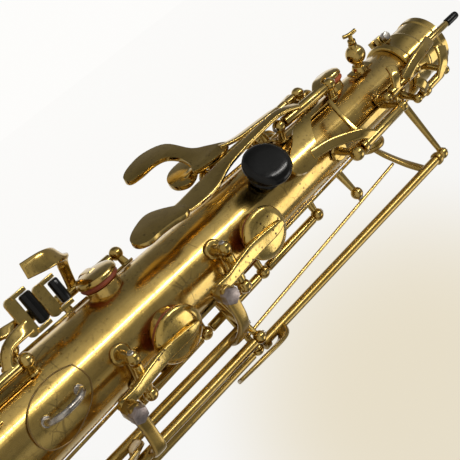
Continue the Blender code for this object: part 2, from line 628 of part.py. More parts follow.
def side_c_cup():
    return seesaw(SIDE_C, 0)


def side_bb_cup():
    return seesaw(SIDE_BB, 0)


def pad_disc(az, z, r, th=None):
    return [disc(az, z, PAD_H, r, (th or PAD_T))], []


def tail_point(s):
    a = P(s["az"] - s["half"], s["r"], s["z"])
    b = P(s["az"] + s["half"], s["r"], s["z"])
    m = (a + b) / 2
    return s["az"] - 2, Vector((m.x, m.y, 0)).length + 6.8, s["tail_z"]


def lever(rod, s, z_low, z_high, touch_z, touch_az, z_arm):
    az, r = rod
    ta, tr, tz = tail_point(s)
    a, b = P(az, r, z_low), P(az, r, z_high)
    n = er(ta)
    tip = P(ta, tr + 0.8, tz)
    adds = [cone(a, b, ROD_R, ROD_R)]
    adds.append(cone(tip, tip + n * 5.2, 3.9, 3.9, 6, x=EZ))
    top = tip + n * 4.4
    adds.append(loft([(P(az, r + 0.4, z_arm), er(az), 7.0, 3.6), (P(az - 14, max(r, tr) + 3.4, z_arm - 1.0), er(az - 14), 6.0, 3.0), (P((az + ta) / 2 - 6, tr + 8.0, (z_arm + tz) / 2), er((az + ta) / 2 - 8), 5.4, 2.8), (top + n * 1.0, n, 6.0, 2.8), (top + n * 0.6 + et(ta) * -4.0, n, 4.0, 2.4)]))
    adds.append(cone(top + n * 0.2, top + n * 4.2, 4.2, 2.8))
    adds.append(loft([(P(az, r + 0.6, touch_z + 16.0), er(az), 4.5, 3.0), (P(touch_az, r + 6.0, touch_z + 12.0), er(touch_az), 9.0, 2.2), (P(touch_az, r + 8.0, touch_z), er(touch_az), 10.5, 2.2), (P(touch_az, r + 7.2, touch_z - 12.0), er(touch_az), 8.0, 2.0)]))
    return adds, [], a, EZ


def side_c_lever():
    return lever(ROD_A, SIDE_C, 230.0 + 3.0, 362.0 - 3.0, 276.0, 56.0, 354.0)


def side_bb_lever():
    return lever(ROD_B, SIDE_BB, 230.0 + 3.3, 362.0 - 3.3, 250.0, 58.0, 296.0)


def side_e_key():
    az, r = ROD_E
    a = P(az, r, 508.0 - 3.3)
    b = P(az, r, 362.0 + 3.3)
    adds = [cone(b, a, ROD_R, ROD_R), cone(a - EZ * 2.4, a - EZ * 0.2, 3.3, 3.3), cone(b + EZ * 0.2, b + EZ * 3.0, 3.6, 3.6)]
    adds += key_cup(106, 484.0, PAD_H, 7.4)
    adds.append(loft(arm_rows([(az, r, 494.0), (91, 38.0, 491.0), (100, 29.0, 487.0), (106, R(484) + 8.2, 484.0)], 5.0, 4.4, 2.4)))
    adds.append(loft([(P(az, r + 0.6, 378.0), er(az), 4.5, 3.0), (P(az - 6, r + 4.0, 372.0), er(az - 8), 7.0, 2.2), (P(az - 12, r + 3.6, 356.0), er(az - 12), 9.0, 2.2), (P(az - 12, r + 3.0, 342.0), er(az - 12), 7.0, 2.0)]))
    return adds, [], P(az, r, 508.0), EZ


def rod_e_lower():
    """Fixed stay between the two lower pillars of the outer line."""
    az, r = ROD_E
    return [cone(P(az, r, 230.0 + 3.3), P(az, r, 362.0 - 3.3), ROD_R, ROD_R)], []


STACK_OPEN = 2.2


def stack_key(az_h, az_c, z, rc, tube, touch, arm_z=None):
    r_h = R(sum(tube) / 2) + 8.5
    a, b = P(az_h, R(tube[0]) + 8.5, tube[0]), P(az_h, R(tube[1]) + 8.5, tube[1])
    adds = [hinge_tube(a, b, 2.2), *key_cup(az_c, z, PAD_H + STACK_OPEN, rc)]
    s = 1 if az_c > az_h else -1
    rb = R(z) + PAD_H + STACK_OPEN + PAD_T + 2.9
    rh = R(z) + 8.5
    adds.append(loft(arm_rows([(az_h, rh + 0.4, z), (az_h + s * 12, rb + 0.8, z), (az_c - s * 4, rb + 1.0, z), (az_c + s * 10, rb + 0.6, z)], 6.0, 4.0, 2.4)))
    if touch:
        ta, tz = touch
        adds.append(loft(arm_rows([(az_c - s * 2, rb + 1.0, z), (ta, rb + 2.6, (z + tz) / 2), (ta, rb + 3.0, tz)], 4.6, 5.0, 2.4)))
        adds.append(lathe(P(ta, rb + 2.4, tz), er(ta), [(0.0, 3.0), (2.6, 3.0), (5.2, 3.5), (6.2, 3.2), (6.4, 2.0), (5.4, 0.0), (0.0, 0.0)], CSEG))
    return adds, [], a, (b - a).normalized()


def key_b():
    return stack_key(92, 138, 408.0, 9.8, (391.0, 432.0), (150, 426.0))


def key_a():
    return stack_key(92, 138, 372.0, 10.4, (351.0, 391.0), (150, 390.0))


def key_g():
    return stack_key(92, 138, 330.0, 11.4, (306.0, 351.0), (150, 351.0))


def key_f():
    return stack_key(96, 140, 232.0, 12.3, (208.0, 256.0), (152, 210.0))


def key_e():
    return stack_key(96, 140, 184.0, 13.3, (158.0, 208.0), (152, 160.0))


def key_d():
    return stack_key(96, 140, 132.0, 14.3, (106.0, 158.0), (152, 108.0))


def low_eb_key():
    a, b = P(24, R(44) + 8.5, 44.0), P(24, R(150) + 8.5, 150.0)
    adds = [hinge_tube(a, b, 2.2), *key_cup(-8, 66.0, PAD_H, 13.6), bridge(24, R(66) + 8.5, -8, 66.0, 8.4, 6.0, 2.6),
            loft([(P(25, R(130) + 9.5, 134.0), er(26), 5.0, 2.6), (P(33, R(130) + 14.0, 138.0), er(34), 8.0, 2.4), (P(40, R(134) + 15.4, 140.0), er(42), 13.0, 2.4), (P(46, R(138) + 15.0, 141.0), er(46), 11.0, 2.2)])]
    return adds, [], a, (b - a).normalized()


def low_c_key():
    a, b = P(52, R(54) + 8.5, 54.0), P(52, R(94) + 8.5, 94.0)
    adds = [hinge_tube(a, b, 2.2), *key_cup(84, 74.0, PAD_H + STACK_OPEN, 13.2), bridge(52, R(74) + 8.5, 84, 74.0, 10.8, 6.0, 2.6),
            loft([(P(53, R(82) + 9.2, 82.0), er(54), 5.0, 2.6), (P(61, R(96) + 15.0, 95.0), er(60), 7.0, 2.4), (P(63, R(110) + 15.0, 112.0), er(62), 13.0, 2.4), (P(64, R(120) + 15.0, 122.0), er(62), 12.0, 2.2)])]
    return adds, [], a, (b - a).normalized()


def g_sharp_key():
    a, b = P(-112, R(313) + 7.5, 313.0), P(-112, R(345) + 7.5, 345.0)
    adds = [hinge_tube(a, b, 2.2), cup(-82, 327.0, PAD_H + PAD_T + 0.3, 9.4), bridge(-112, R(327) + 7.5, -82, 327.0, 8.2, 5.0, 2.4),
            loft([(P(-112, 27.4, 321.0), er(-112), 4.6, 2.4), (P(-98, 36.0, 322.0), er(-80), 5.0, 2.4), (P(-82, 42.0, 320.0), er(-30), 7.0, 2.2), (P(-75, 46.0, 312.0), er(-10), 8.0, 2.2), (P(-77, 47.4, 303.0), er(-10), 7.0, 2.0)])]
    return adds, [], a, (b - a).normalized()


TY = 11.0   # back face plane of the left-hand table


def tbl(x, z, y=TY):
    return Vector((x, y, z))


YN = Vector((0.0, 1.0, 0.0))


def table_plate(x0, x1, z0, z1, y=TY, th=2.2, round_r=3.0):
    w, h = (x1 - x0) / 2, (z1 - z0) / 2
    pts = []
    for sx, sz, a0 in ((1, 1, 0), (-1, 1, 90), (-1, -1, 180), (1, -1, 270)):
        for k in range(RCORN + 1):
            a = math.radians(a0 + 90 * k / RCORN)
            pts.append((sx * (w - round_r) + round_r * math.cos(a), sz * (h - round_r) + round_r * math.sin(a)))
    return plate(Vector(((x0 + x1) / 2, y, (z0 + z1) / 2)), YN, EZ, [(q, p) for p, q in pts], th)


def low_csharp_key():
    a, b = P(-70, R(60) + 8.0, 60.0), P(-70, R(280) + 8.0, 280.0)
    adds = [hinge_tube(a, b, 2.2), *key_cup(-34, 116.0, PAD_H, 13.6), bridge(-70, R(116) + 8.0, -34, 116.0, 8.4, 6.0, 2.6)]
    p = P(-70, R(270) + 8.0, 270.0)
    adds += [loft([(p + er(-70) * 0.4, er(-70), 4.4, 2.6), (P(-79, 33.6, 278.0), er(-74), 4.6, 2.4), (Vector((32.0, 8.0, 288.0)), YN, 5.0, 2.4), (Vector((30.5, 8.0, 303.0)), YN, 5.0, 2.2)]), cone((30.5, 7.6, 301.8), (30.5, 13.0, 301.8), 1.9),
             table_plate(25.0, 39.6, 299.4, 304.6, 13.4, 2.2, 2.2)]
    for x in (26.0, 38.6):
        adds.append(box((x, 13.9, 306.6), YN, EZ, (6.6, 1.8, 3.0)))
    return adds, [], a, (b - a).normalized()


def roller(x0, x1, y, z, r):
    a, b = Vector((x0, y, z)), Vector((x1, y, z))
    d = (b - a).normalized()
    return [lathe(a, d, [(0.0, (b - a).length), (r * 0.8, (b - a).length), (r, (b - a).length - 0.7), (r, 0.7), (r * 0.8, 0.0), (0.0, 0.0)], SEG)], [], a, d


def roller_csharp():
    return roller(27.3, 37.3, 14.4, 308.2, 2.3)


def bell_lever(az, z0, z1, zt, zr, arm_z):
    """Left-hand lever: table plate with roller ears above, an arm toward the bell key below."""
    a, b = P(az, R(z0) + 8.0, z0), P(az, R(z1) + 8.0, z1)
    adds = [hinge_tube(a, b, 2.2)]
    return a, b, adds


def low_b_lever():
    az = -50.0
    a, b, adds = bell_lever(az, 226.0, 280.0, 0, 0, 0)
    p = P(az, R(272) + 8.4, 272.0)
    adds += [loft([(p, er(az), 4.4, 2.6), (P(-60, 33.6, 278.0), er(-50), 5.0, 2.6), (Vector((30.0, 15.6, 290.0)), YN, 6.0, 2.6)]),
             table_plate(25.0, 43.0, 287.4, 292.4, 14.6, 2.2, 2.2)]
    for x in (26.0, 42.0):
        adds.append(box((x, 15.2, 294.4), YN, EZ, (6.8, 1.8, 3.0)))
    adds.append(loft([(P(az, R(232) + 8.4, 232.0), er(az), 5.0, 2.6), (P(-66, 40.5, 228.0), er(-66), 5.0, 2.6), (P(-88, 46.0, 218.0), er(-80), 5.0, 2.6), (Vector((52.0, -28.0, 206.0)), Vector((1, 0, 0)), 5.0, 2.6), (Vector((53.6, -52.0, 186.0)), Vector((1, 0, 0)), 5.0, 2.6)]))
    return adds, [], a, (b - a).normalized()


def roller_b():
    return roller(27.3, 40.7, 15.6, 296.0, 2.7)


def low_bb_lever():
    az = -34.0
    a, b, adds = bell_lever(az, 196.0, 256.0, 0, 0, 0)
    p = P(az, R(249) + 8.4, 249.0)
    adds += [loft([(p, er(az), 4.4, 2.6), (P(-43, 33.8, 254.0), er(-40), 5.0, 2.6), (P(-52, 35.0, 261.0), er(-46), 5.0, 2.6), (Vector((37.0, 17.4, 268.0)), YN, 6.0, 2.6)]),
             plate(Vector((41.0, 16.6, 272.0)), YN, EZ, [(6.6 * math.cos(2 * math.pi * k / DSEG), 8.4 * math.sin(2 * math.pi * k / DSEG)) for k in range(DSEG)], 2.4)]
    adds.append(loft([(P(az, R(202) + 8.4, 202.0), er(az), 5.0, 2.6), (P(-56, 42.5, 200.0), er(-56), 5.0, 2.6), (P(-80, 47.0, 192.0), er(-76), 5.0, 2.6), (Vector((52.6, -26.0, 176.0)), Vector((1, 0, 0)), 5.0, 2.6), (Vector((53.6, -50.0, 160.0)), Vector((1, 0, 0)), 5.0, 2.6)]))
    return adds, [], a, (b - a).normalized()


def bell_key(z, rc, z0, z1):
    y = -BELL_Y + 31.0
    a, b = Vector((46.5, y, z0)), Vector((46.5, y, z1))
    c = Vector((43.0 + 0.3 + STACK_OPEN, -BELL_Y, z))
    X = Vector((1.0, 0.0, 0.0))
    adds = [hinge_tube(a, b, 2.3), cone(c, c + X * 2.6, rc * 0.9, rc * 0.9, CSEG), lathe(c + X * 2.2, X, [(0.0, 3.6), (rc * 0.4, 3.5), (rc * 0.75, 3.0), (rc * 0.93, 2.2), (rc, 1.2), (rc, 0.0), (0.0, 0.0)], CSEG)]
    adds.append(loft([(Vector((47.2, y, z)), X, 7.0, 3.0), (Vector((51.6, y - 10, z)), X, 6.0, 2.6), (c + X * 6.2, X, 5.0, 2.4)]))
    return adds, [], a, EZ


def low_b_key():
    return bell_key(168.0, 16.8, 140.0, 194.0)


def low_bb_key():
    return bell_key(112.0, 15.6, 86.0, 140.0)


def octave_thumb_lever():
    a, b = P(21, 27.0, 452.0), P(21, 25.6, 490.0)
    d = (b - a).normalized()
    z0, z1 = 412.0, 458.0
    shell = lathe((0, 0, 0), EZ, [(R(z1) + 5.0, z1), (R(z1) + 6.6, z1), (R(z0) + 6.6, z0), (R(z0) + 5.0, z0)], TSEG * 2)
    az0 = -22.0
    out = [(z - 435.0, -(R(z) + 5.8) * math.sin(math.radians(q - az0))) for q, z in ((-50.0, 451.0), (-34.0, 445.0), (-16.5, 440.0), (-3.4, 437.0), (3.4, 431.0), (-0.6, 423.5), (-10.8, 420.5), (-22.0, 423.6), (-35.0, 432.0), (-49.0, 439.5))]
    prism = plate(P(az0, 20.0, 435.0), er(az0), EZ, outline(out), 22.0)
    adds = [("intersect", shell, prism), cone(a + d * 3.8, b - d * 3.0, 2.5, 2.4), cone(a + d * 3.8, a + d * 7.0, 3.3, 3.0)]
    adds.append(loft(arm_rows([(20, 27.2, 466.0), (8, 27.0, 458.0), (-3, 23.6, 446.0), (-9, R(434) + 6.0, 434.0)], 5.0, 5.0, 2.0)))
    adds.append(loft(arm_rows([(18, 27.0, 461.0), (3, 23.8, 459.8), (-22, 21.8, 460.6), (-44, 21.4, 463.6)], 2.6, 2.0, 1.8)))
    return adds, [], a, d


def octave_rocker():
    a, b = P(5, 20.9, 488.0), P(5, 20.2, 513.0)
    d = (b - a).normalized()
    adds = [cone(a + d * 2.7, b - d * 2.7, 2.2, 2.2)]
    pin = P(-11.5, 18.6, 530.0)
    adds.append(loft([(P(4, 21.6, 502.0), er(0), 5.0, 2.4), (P(-5, 23.2, 511.0), er(-3), 5.0, 2.4), (P(-9, 21.6, 523.0), er(-9), 5.4, 2.6), (P(-11, 19.0, 531.0), er(-11), 5.4, 3.0)]))
    adds.append(cone(P(-11.5, 18.6, 528.0), P(-11.5, 18.6, 547.0), 1.9, 1.7))
    adds.append(loft([(P(5, 21.6, 495.0), er(5), 5.0, 2.4), (P(-8, 23.4, 497.0), er(-8), 5.0, 2.2), (P(-20, 22.4, 500.0), er(-20), 6.0, 2.2)]))
    return adds, [], a, d


def octave_sleeve():
    c = P(-11.5, 18.6, 547.3)
    return [lathe(c, EZ, [(0.0, 9.4), (1.0, 9.2), (1.8, 8.4), (2.0, 7.2), (2.0, 0.0), (0.0, 0.0)], SEG)], []


def octave_link_post():
    return post(30, 25.0, 502.0, 2.6, 2.3) + [rib(30, 498.0, 506.0, 4.0)], []


def octave_link():
    """Link plate beside the receiver."""
    a, b = P(30, 25.0, 502.0), P(30, 24.0, 527.0)
    d = (b - a).normalized()
    adds = [cone(a + d * 2.6, b - d * 3.6, 2.1, 2.1), cone(a + d * 6.0, a + d * 8.5, 2.9, 2.9)]
    adds.append(loft([(P(30, 25.2, 520.0), er(26), 4.0, 2.2), (P(16, 25.6, 526.0), er(14), 6.0, 2.2), (P(2, 23.8, 530.0), er(2), 7.0, 2.2)]))
    adds.append(loft([(P(30, 25.6, 508.0), er(26), 4.0, 2.2), (P(18, 27.4, 506.0), er(18), 5.0, 2.2), (P(9, 27.0, 503.0), er(9), 4.4, 2.0)]))
    return adds, [], a, d


# ---- building the objects ----
PARTS = bpy.data.collections.new("saxophone")
bpy.context.scene.collection.children.link(PARTS)

COLORS = {"brass_lacquer": ((0.62, 0.42, 0.12, 1), 1.0, 0.28), "brass_key": ((0.70, 0.50, 0.18, 1), 1.0, 0.25), "black_plastic": ((0.01, 0.01, 0.009, 1), 0.0, 0.15), "pad_leather": ((0.28, 0.09, 0.03, 1), 0.0, 0.6), "worn_nickel": ((0.45, 0.43, 0.40, 1), 1.0, 0.35), "steel_screw": ((0.5, 0.5, 0.5, 1), 1.0, 0.3)}


def material(slot, name):
    mat = bpy.data.materials.new(name)
    mat.use_nodes = True
    col, metal, rough = COLORS[slot]
    bsdf = mat.node_tree.nodes["Principled BSDF"]
    bsdf.inputs["Base Color"].default_value = col
    bsdf.inputs["Metallic"].default_value = metal
    bsdf.inputs["Roughness"].default_value = rough
    return mat


def temp_object(me):
    ob = bpy.data.objects.new("tmp", me)
    bpy.context.scene.collection.objects.link(ob)
    return ob


def fold(base, me, op, solver="EXACT"):
    """Boolean one mesh into the base object and keep the result as its mesh."""
    other = temp_object(me)
    mod = base.modifiers.new("b", "BOOLEAN")
    mod.operation = op
    mod.solver = solver
    mod.object = other
    dg = bpy.context.evaluated_depsgraph_get()
    out = bpy.data.meshes.new_from_object(base.evaluated_get(dg))
    old = base.data
    base.modifiers.clear()
    base.data = out
    bpy.data.meshes.remove(old)
    bpy.data.objects.remove(other)
    bpy.data.meshes.remove(me)


def to_row(me, pivot):
    """Merge slivers, triangulate and move to metres about the pivot."""
    for angle in (0.3, 0.0):
        bm = bmesh.new()
        bm.from_mesh(me)
        bmesh.ops.remove_doubles(bm, verts=bm.verts, dist=0.0008 if angle else 0.0001)
        if angle:
            bmesh.ops.dissolve_degenerate(bm, edges=bm.edges, dist=0.0008)
            bmesh.ops.dissolve_limit(bm, angle_limit=math.radians(angle), verts=bm.verts, edges=bm.edges)
        bmesh.ops.triangulate(bm, faces=bm.faces)
        if all(e.is_manifold for e in bm.edges) or not angle:
            break
        bm.free()
    for v in bm.verts:
        v.co = (v.co - pivot) * 0.001
    bm.to_mesh(me)
    bm.free()


def build(name, slot, adds, cuts=(), pivot=None):
    solver = "MANIFOLD" if name == "body_tube" else "EXACT"  # the exact solver leaves open edges at the chimneys
    first = adds[0]
    if isinstance(first, tuple):
        base = temp_object(first[1])
        fold(base, first[2], "INTERSECT")
    else:
        base = temp_object(first)
    for me in adds[1:]:
        fold(base, me, "UNION", solver)
    for me in cuts:
        fold(base, me, "DIFFERENCE", solver)
    piv = ORIGIN if pivot is None else Vector(pivot)
    to_row(base.data, piv)
    base.name = name
    base.data.name = name
    base.location = (piv - ORIGIN) * 0.001
    base.data.materials.clear()
    base.data.materials.append(material(slot, "mat_" + name))
    for c in list(base.users_collection):
        c.objects.unlink(base)
    PARTS.objects.link(base)
    for p in base.data.polygons:
        p.use_smooth = False
    return base


STATIC = [
    ("body_tube", "brass_lacquer", body_tube), ("neck_receiver", "brass_lacquer", neck_receiver), ("neck_clamp_screw", "steel_screw", neck_screw),
    ("bow", "brass_lacquer", bow), ("bow_ring_body", "brass_lacquer", lambda: bow_ring(0.0, R(FOOT_Z))), ("bow_ring_bell", "brass_lacquer", lambda: bow_ring(-BELL_Y, BELL_R0)),
    ("bell", "brass_lacquer", bell), ("bell_brace", "brass_lacquer", bell_brace), ("lyre_holder", "brass_lacquer", lyre_holder), ("lyre_thumb_screw", "brass_lacquer", lyre_screw),
    ("strap_ring", "worn_nickel", strap_ring), ("thumb_rest", "black_plastic", thumb_rest), ("thumb_hook", "brass_lacquer", thumb_hook),
    ("palm_key_posts", "brass_lacquer", palm_posts), ("side_C_posts", "brass_lacquer", side_c_posts), ("side_Bb_posts", "brass_lacquer", side_bb_posts),
    ("side_rod_posts", "brass_lacquer", side_rod_posts), ("side_rod_stay", "brass_lacquer", rod_e_lower),
    ("upper_stack_posts", "brass_lacquer", upper_stack_posts), ("lower_stack_posts", "brass_lacquer", lower_stack_posts),
    ("octave_posts", "brass_lacquer", octave_posts), ("octave_link_post", "brass_lacquer", octave_link_post),
    ("table_key_posts", "brass_lacquer", table_posts), ("bell_key_posts", "brass_lacquer", bell_key_posts), ("low_key_posts", "brass_lacquer", low_key_posts),
]
PADS = [
    ("side_C_pad", lambda: pad_disc(SIDE_C["cup_az"], SIDE_C["cup_z"], SIDE_C["cup_r"] - 1.2), "side_C_cup"),
    ("side_Bb_pad", lambda: pad_disc(SIDE_BB["cup_az"], SIDE_BB["cup_z"], SIDE_BB["cup_r"] - 1.2), "side_Bb_cup"),
    ("palm_F_pad", lambda: pad_disc(-84, 480.0, 6.6), "palm_F_key"),
    ("G_sharp_pad", lambda: pad_disc(-82, 327.0, 8.6), "G_sharp_key"),
]
MOVING = [
    ("palm_F_key", palm_f), ("palm_D_key", palm_d), ("palm_Eb_key", palm_eb),
    ("side_C_cup", side_c_cup), ("side_Bb_cup", side_bb_cup), ("side_C_lever", side_c_lever), ("side_Bb_lever", side_bb_lever), ("side_E_key", side_e_key),
    ("upper_B_key", key_b), ("upper_A_key", key_a), ("upper_G_key", key_g), ("lower_F_key", key_f), ("lower_E_key", key_e), ("lower_D_key", key_d),
    ("low_Eb_key", low_eb_key), ("low_C_key", low_c_key), ("G_sharp_key", g_sharp_key), ("low_C_sharp_key", low_csharp_key),
    ("low_B_lever", low_b_lever), ("low_Bb_lever", low_bb_lever), ("low_B_bell_key", low_b_key), ("low_Bb_bell_key", low_bb_key),
    ("octave_thumb_lever", octave_thumb_lever), ("octave_rocker", octave_rocker), ("octave_link_key", octave_link),
]
ROLLERS = [("C_sharp_roller", roller_csharp), ("B_roller", roller_b)]

for name, slot, fn in STATIC:
    adds, cuts = fn()
    build(name, slot, adds, cuts)
for name, fn in MOVING:
    adds, cuts, piv, axis = fn()
    build(name, "brass_key", adds, cuts, piv)
    w = (piv - ORIGIN) * 0.001
    print("PIVOT", name, *[round(v, 6) for v in w], *[round(v, 6) for v in axis])
for name, fn, owner in PADS:
    adds, cuts = fn()
    build(name, "pad_leather", adds, cuts, bpy.data.objects[owner].location / 0.001 + ORIGIN)
for name, fn in ROLLERS:
    adds, cuts, piv, axis = fn()
    build(name, "black_plastic", adds, cuts, piv)
    w = (piv - ORIGIN) * 0.001
    print("PIVOT", name, *[round(v, 6) for v in w], *[round(v, 6) for v in axis])
adds, cuts = octave_sleeve()
build("octave_pin_sleeve", "black_plastic", adds, cuts, bpy.data.objects["octave_rocker"].location / 0.001 + ORIGIN)

total = 0
for ob in PARTS.objects:
    n = len(ob.data.polygons)
    total += n
    print("TRIS", ob.name, n)
print("TOTAL", total, "objects", len(PARTS.objects))
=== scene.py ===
"""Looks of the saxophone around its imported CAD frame.

Shapes are in millimetres in the instrument's own coordinates and moved to metres from the strap ring's eye.
"""
import json
import math

import bmesh
import bpy
from mathutils import Matrix, Vector

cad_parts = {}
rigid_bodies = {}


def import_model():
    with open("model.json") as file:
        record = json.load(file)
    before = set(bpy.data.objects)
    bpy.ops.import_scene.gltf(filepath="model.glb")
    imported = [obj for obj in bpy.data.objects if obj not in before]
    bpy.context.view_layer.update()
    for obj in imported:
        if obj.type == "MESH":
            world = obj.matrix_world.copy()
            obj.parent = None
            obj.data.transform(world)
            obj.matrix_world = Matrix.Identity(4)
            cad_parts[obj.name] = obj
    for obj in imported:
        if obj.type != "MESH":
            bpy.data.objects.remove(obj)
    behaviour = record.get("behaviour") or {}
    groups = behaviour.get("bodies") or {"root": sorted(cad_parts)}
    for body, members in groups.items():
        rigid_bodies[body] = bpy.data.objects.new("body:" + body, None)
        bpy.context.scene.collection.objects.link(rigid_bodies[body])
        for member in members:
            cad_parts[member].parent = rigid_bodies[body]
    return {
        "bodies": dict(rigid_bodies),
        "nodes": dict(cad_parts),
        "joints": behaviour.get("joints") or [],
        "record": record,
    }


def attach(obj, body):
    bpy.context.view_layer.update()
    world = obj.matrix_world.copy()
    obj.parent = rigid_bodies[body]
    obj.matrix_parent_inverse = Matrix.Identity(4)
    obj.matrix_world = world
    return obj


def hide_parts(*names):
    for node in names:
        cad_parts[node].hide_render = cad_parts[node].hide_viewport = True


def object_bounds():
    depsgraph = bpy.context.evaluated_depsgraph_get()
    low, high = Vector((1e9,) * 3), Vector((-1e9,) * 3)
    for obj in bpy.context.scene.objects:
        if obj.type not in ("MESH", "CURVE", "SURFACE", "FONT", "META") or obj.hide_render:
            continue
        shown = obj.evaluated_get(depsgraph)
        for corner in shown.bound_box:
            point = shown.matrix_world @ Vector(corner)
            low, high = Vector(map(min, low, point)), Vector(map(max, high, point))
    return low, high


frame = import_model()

lo0, hi0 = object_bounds()
PACKED = frame

SEG, CSEG, HSEG, TSEG, DSEG = 28, 56, 36, 128, 40
BRES, LSEC, LSTEP, PSTEP, RCORN, BOWN, FEET = 5, 24, 6, 6, 6, 40, True
BELL_F = tuple(1.0 - (1.0 - i / 40.0) ** 1.6 for i in range(1, 41))

# ---- driving constants, millimetres, before the shift to the row origin ----
TOP_Z = 545.0          # top of the neck receiver
RECV_Z = 515.0         # bottom of the neck receiver
FOOT_Z = 30.0          # bottom of the straight body tube
R_TOP = 12.9           # tube radius extrapolated to TOP_Z
TAPER = 0.0272         # radius gained per millimetre downward
WALL = 1.2
BELL_Y = 98.0          # tube axis to bell axis, toward the front
BELL_R0 = 32.0         # bell throat radius
BELL_TOP = 262.0       # bell rim height
RIM_R = 61.5
STRAP_Z = 278.6
GAP = 0.3
ROD_R = 2.4            # long rod radius
TUBE_R = 2.1           # short hinge tube radius
BALL_R = 3.1           # post ball radius
SIDE_C = dict(az=19.0, half=23.0, z=369.3, r=26.5, cup_az=17.0, cup_z=391.0, cup_r=11.8, tail_z=353.5)
SIDE_BB = dict(az=30.0, half=22.0, z=309.0, r=28.3, cup_az=28.0, cup_z=332.0, cup_r=12.6, tail_z=294.5)
ROD_E = (82.0, 46.4)   # azimuth, radius of the three long rods
ROD_B = (68.0, 42.6)
ROD_A = (72.0, 34.4)
THUMB = (-33.0, 412.5)


def R(z):
    return R_TOP + TAPER * (TOP_Z - z)


def er(az):
    a = math.radians(az)
    return Vector((-math.sin(a), math.cos(a), 0.0))


def et(az):
    a = math.radians(az)
    return Vector((-math.cos(a), -math.sin(a), 0.0))


EZ = Vector((0.0, 0.0, 1.0))


def P(az, r, z):
    return er(az) * r + EZ * z


def Q(az, h, z):
    """Point h above the tube wall."""
    return P(az, R(z) + h, z)


ORIGIN = P(0.0, R(STRAP_Z) + 5.2, STRAP_Z)


def mesh_from_bm(bm):
    me = bpy.data.meshes.new("m")
    bmesh.ops.recalc_face_normals(bm, faces=bm.faces)
    bm.to_mesh(me)
    bm.free()
    return me


def frame(a, d, x=None):
    d = Vector(d).normalized()
    if x is None:
        x = EZ if abs(d.z) < 0.9 else Vector((1.0, 0.0, 0.0))
    x = Vector(x)
    x = (x - d * x.dot(d)).normalized()
    y = d.cross(x)
    m = Matrix((x, y, d)).transposed().to_4x4()
    m.translation = Vector(a)
    return m


def cone(a, b, r1, r2=None, seg=None, x=None):
    a, b = Vector(a), Vector(b)
    r2 = r1 if r2 is None else r2
    bm = bmesh.new()
    bmesh.ops.create_cone(bm, cap_ends=True, segments=seg or SEG, radius1=r1, radius2=r2, depth=(b - a).length)
    m = frame((a + b) / 2, b - a, x)
    bmesh.ops.transform(bm, matrix=m, verts=bm.verts)
    return mesh_from_bm(bm)


def ball(c, r, seg=None):
    bm = bmesh.new()
    s = seg or SEG
    bmesh.ops.create_uvsphere(bm, u_segments=s, v_segments=max(5, s // 2), radius=r)
    bmesh.ops.transform(bm, matrix=frame(c, EZ), verts=bm.verts)
    return mesh_from_bm(bm)


def box(c, d, x, size):
    """Box centred at c; size along x, the third direction and d."""
    bm = bmesh.new()
    bmesh.ops.create_cube(bm, size=1.0)
    bmesh.ops.transform(bm, matrix=frame(c, d, x) @ Matrix.Diagonal((size[0], size[1], size[2], 1.0)), verts=bm.verts)
    return mesh_from_bm(bm)


def evaluated(ob, m):
    dg = bpy.context.evaluated_depsgraph_get()
    me = bpy.data.meshes.new_from_object(ob.evaluated_get(dg))
    bm = bmesh.new()
    bm.from_mesh(me)
    bmesh.ops.remove_doubles(bm, verts=bm.verts, dist=0.0005)
    bmesh.ops.transform(bm, matrix=m, verts=bm.verts)
    data = ob.data
    bpy.data.objects.remove(ob)
    (bpy.data.curves if isinstance(data, bpy.types.Curve) else bpy.data.meshes).remove(data)
    bpy.data.meshes.remove(me)
    return mesh_from_bm(bm)


def lathe(a, d, profile, seg=None, x=None):
    """Turned body: profile of (radius, height along d) that starts and ends on the axis, or a closed ring."""
    closed = profile[0][0] > 0 and profile[-1][0] > 0
    me = bpy.data.meshes.new("prof")
    n = len(profile)
    me.from_pydata([(r, 0.0, h) for r, h in profile], [(i, i + 1) for i in range(n - 1)] + ([(n - 1, 0)] if closed else []), [])
    ob = bpy.data.objects.new("prof", me)
    bpy.context.scene.collection.objects.link(ob)
    mod = ob.modifiers.new("turn", "SCREW")
    mod.steps = mod.render_steps = seg or SEG
    mod.axis = "Z"
    mod.use_merge_vertices = True
    mod.merge_threshold = 0.0001
    return evaluated(ob, frame(a, d, x))


def wire(pts, r, res=None, cyclic=False):
    """Round wire along a polyline."""
    cu = bpy.data.curves.new("wire", "CURVE")
    cu.dimensions = "3D"
    cu.bevel_depth = r
    cu.bevel_resolution = BRES if res is None else res
    cu.use_fill_caps = not cyclic
    sp = cu.splines.new("POLY")
    sp.points.add(len(pts) - 1)
    for p, q in zip(sp.points, pts):
        p.co = (*q, 1.0)
    sp.use_cyclic_u = cyclic
    ob = bpy.data.objects.new("wire", cu)
    bpy.context.scene.collection.objects.link(ob)
    return evaluated(ob, Matrix.Identity(4))


def plate(c, d, x, outline, th):
    """Flat plate of thickness th centred on c, its face normal d, outline in the (x, d cross x) plane."""
    cu = bpy.data.curves.new("plate", "CURVE")
    cu.dimensions = "2D"
    cu.fill_mode = "BOTH"
    cu.extrude = th / 2
    sp = cu.splines.new("POLY")
    sp.points.add(len(outline) - 1)
    for p, q in zip(sp.points, outline):
        p.co = (q[0], q[1], 0.0, 1.0)
    sp.use_cyclic_u = True
    ob = bpy.data.objects.new("plate", cu)
    bpy.context.scene.collection.objects.link(ob)
    return evaluated(ob, frame(c, d, x))


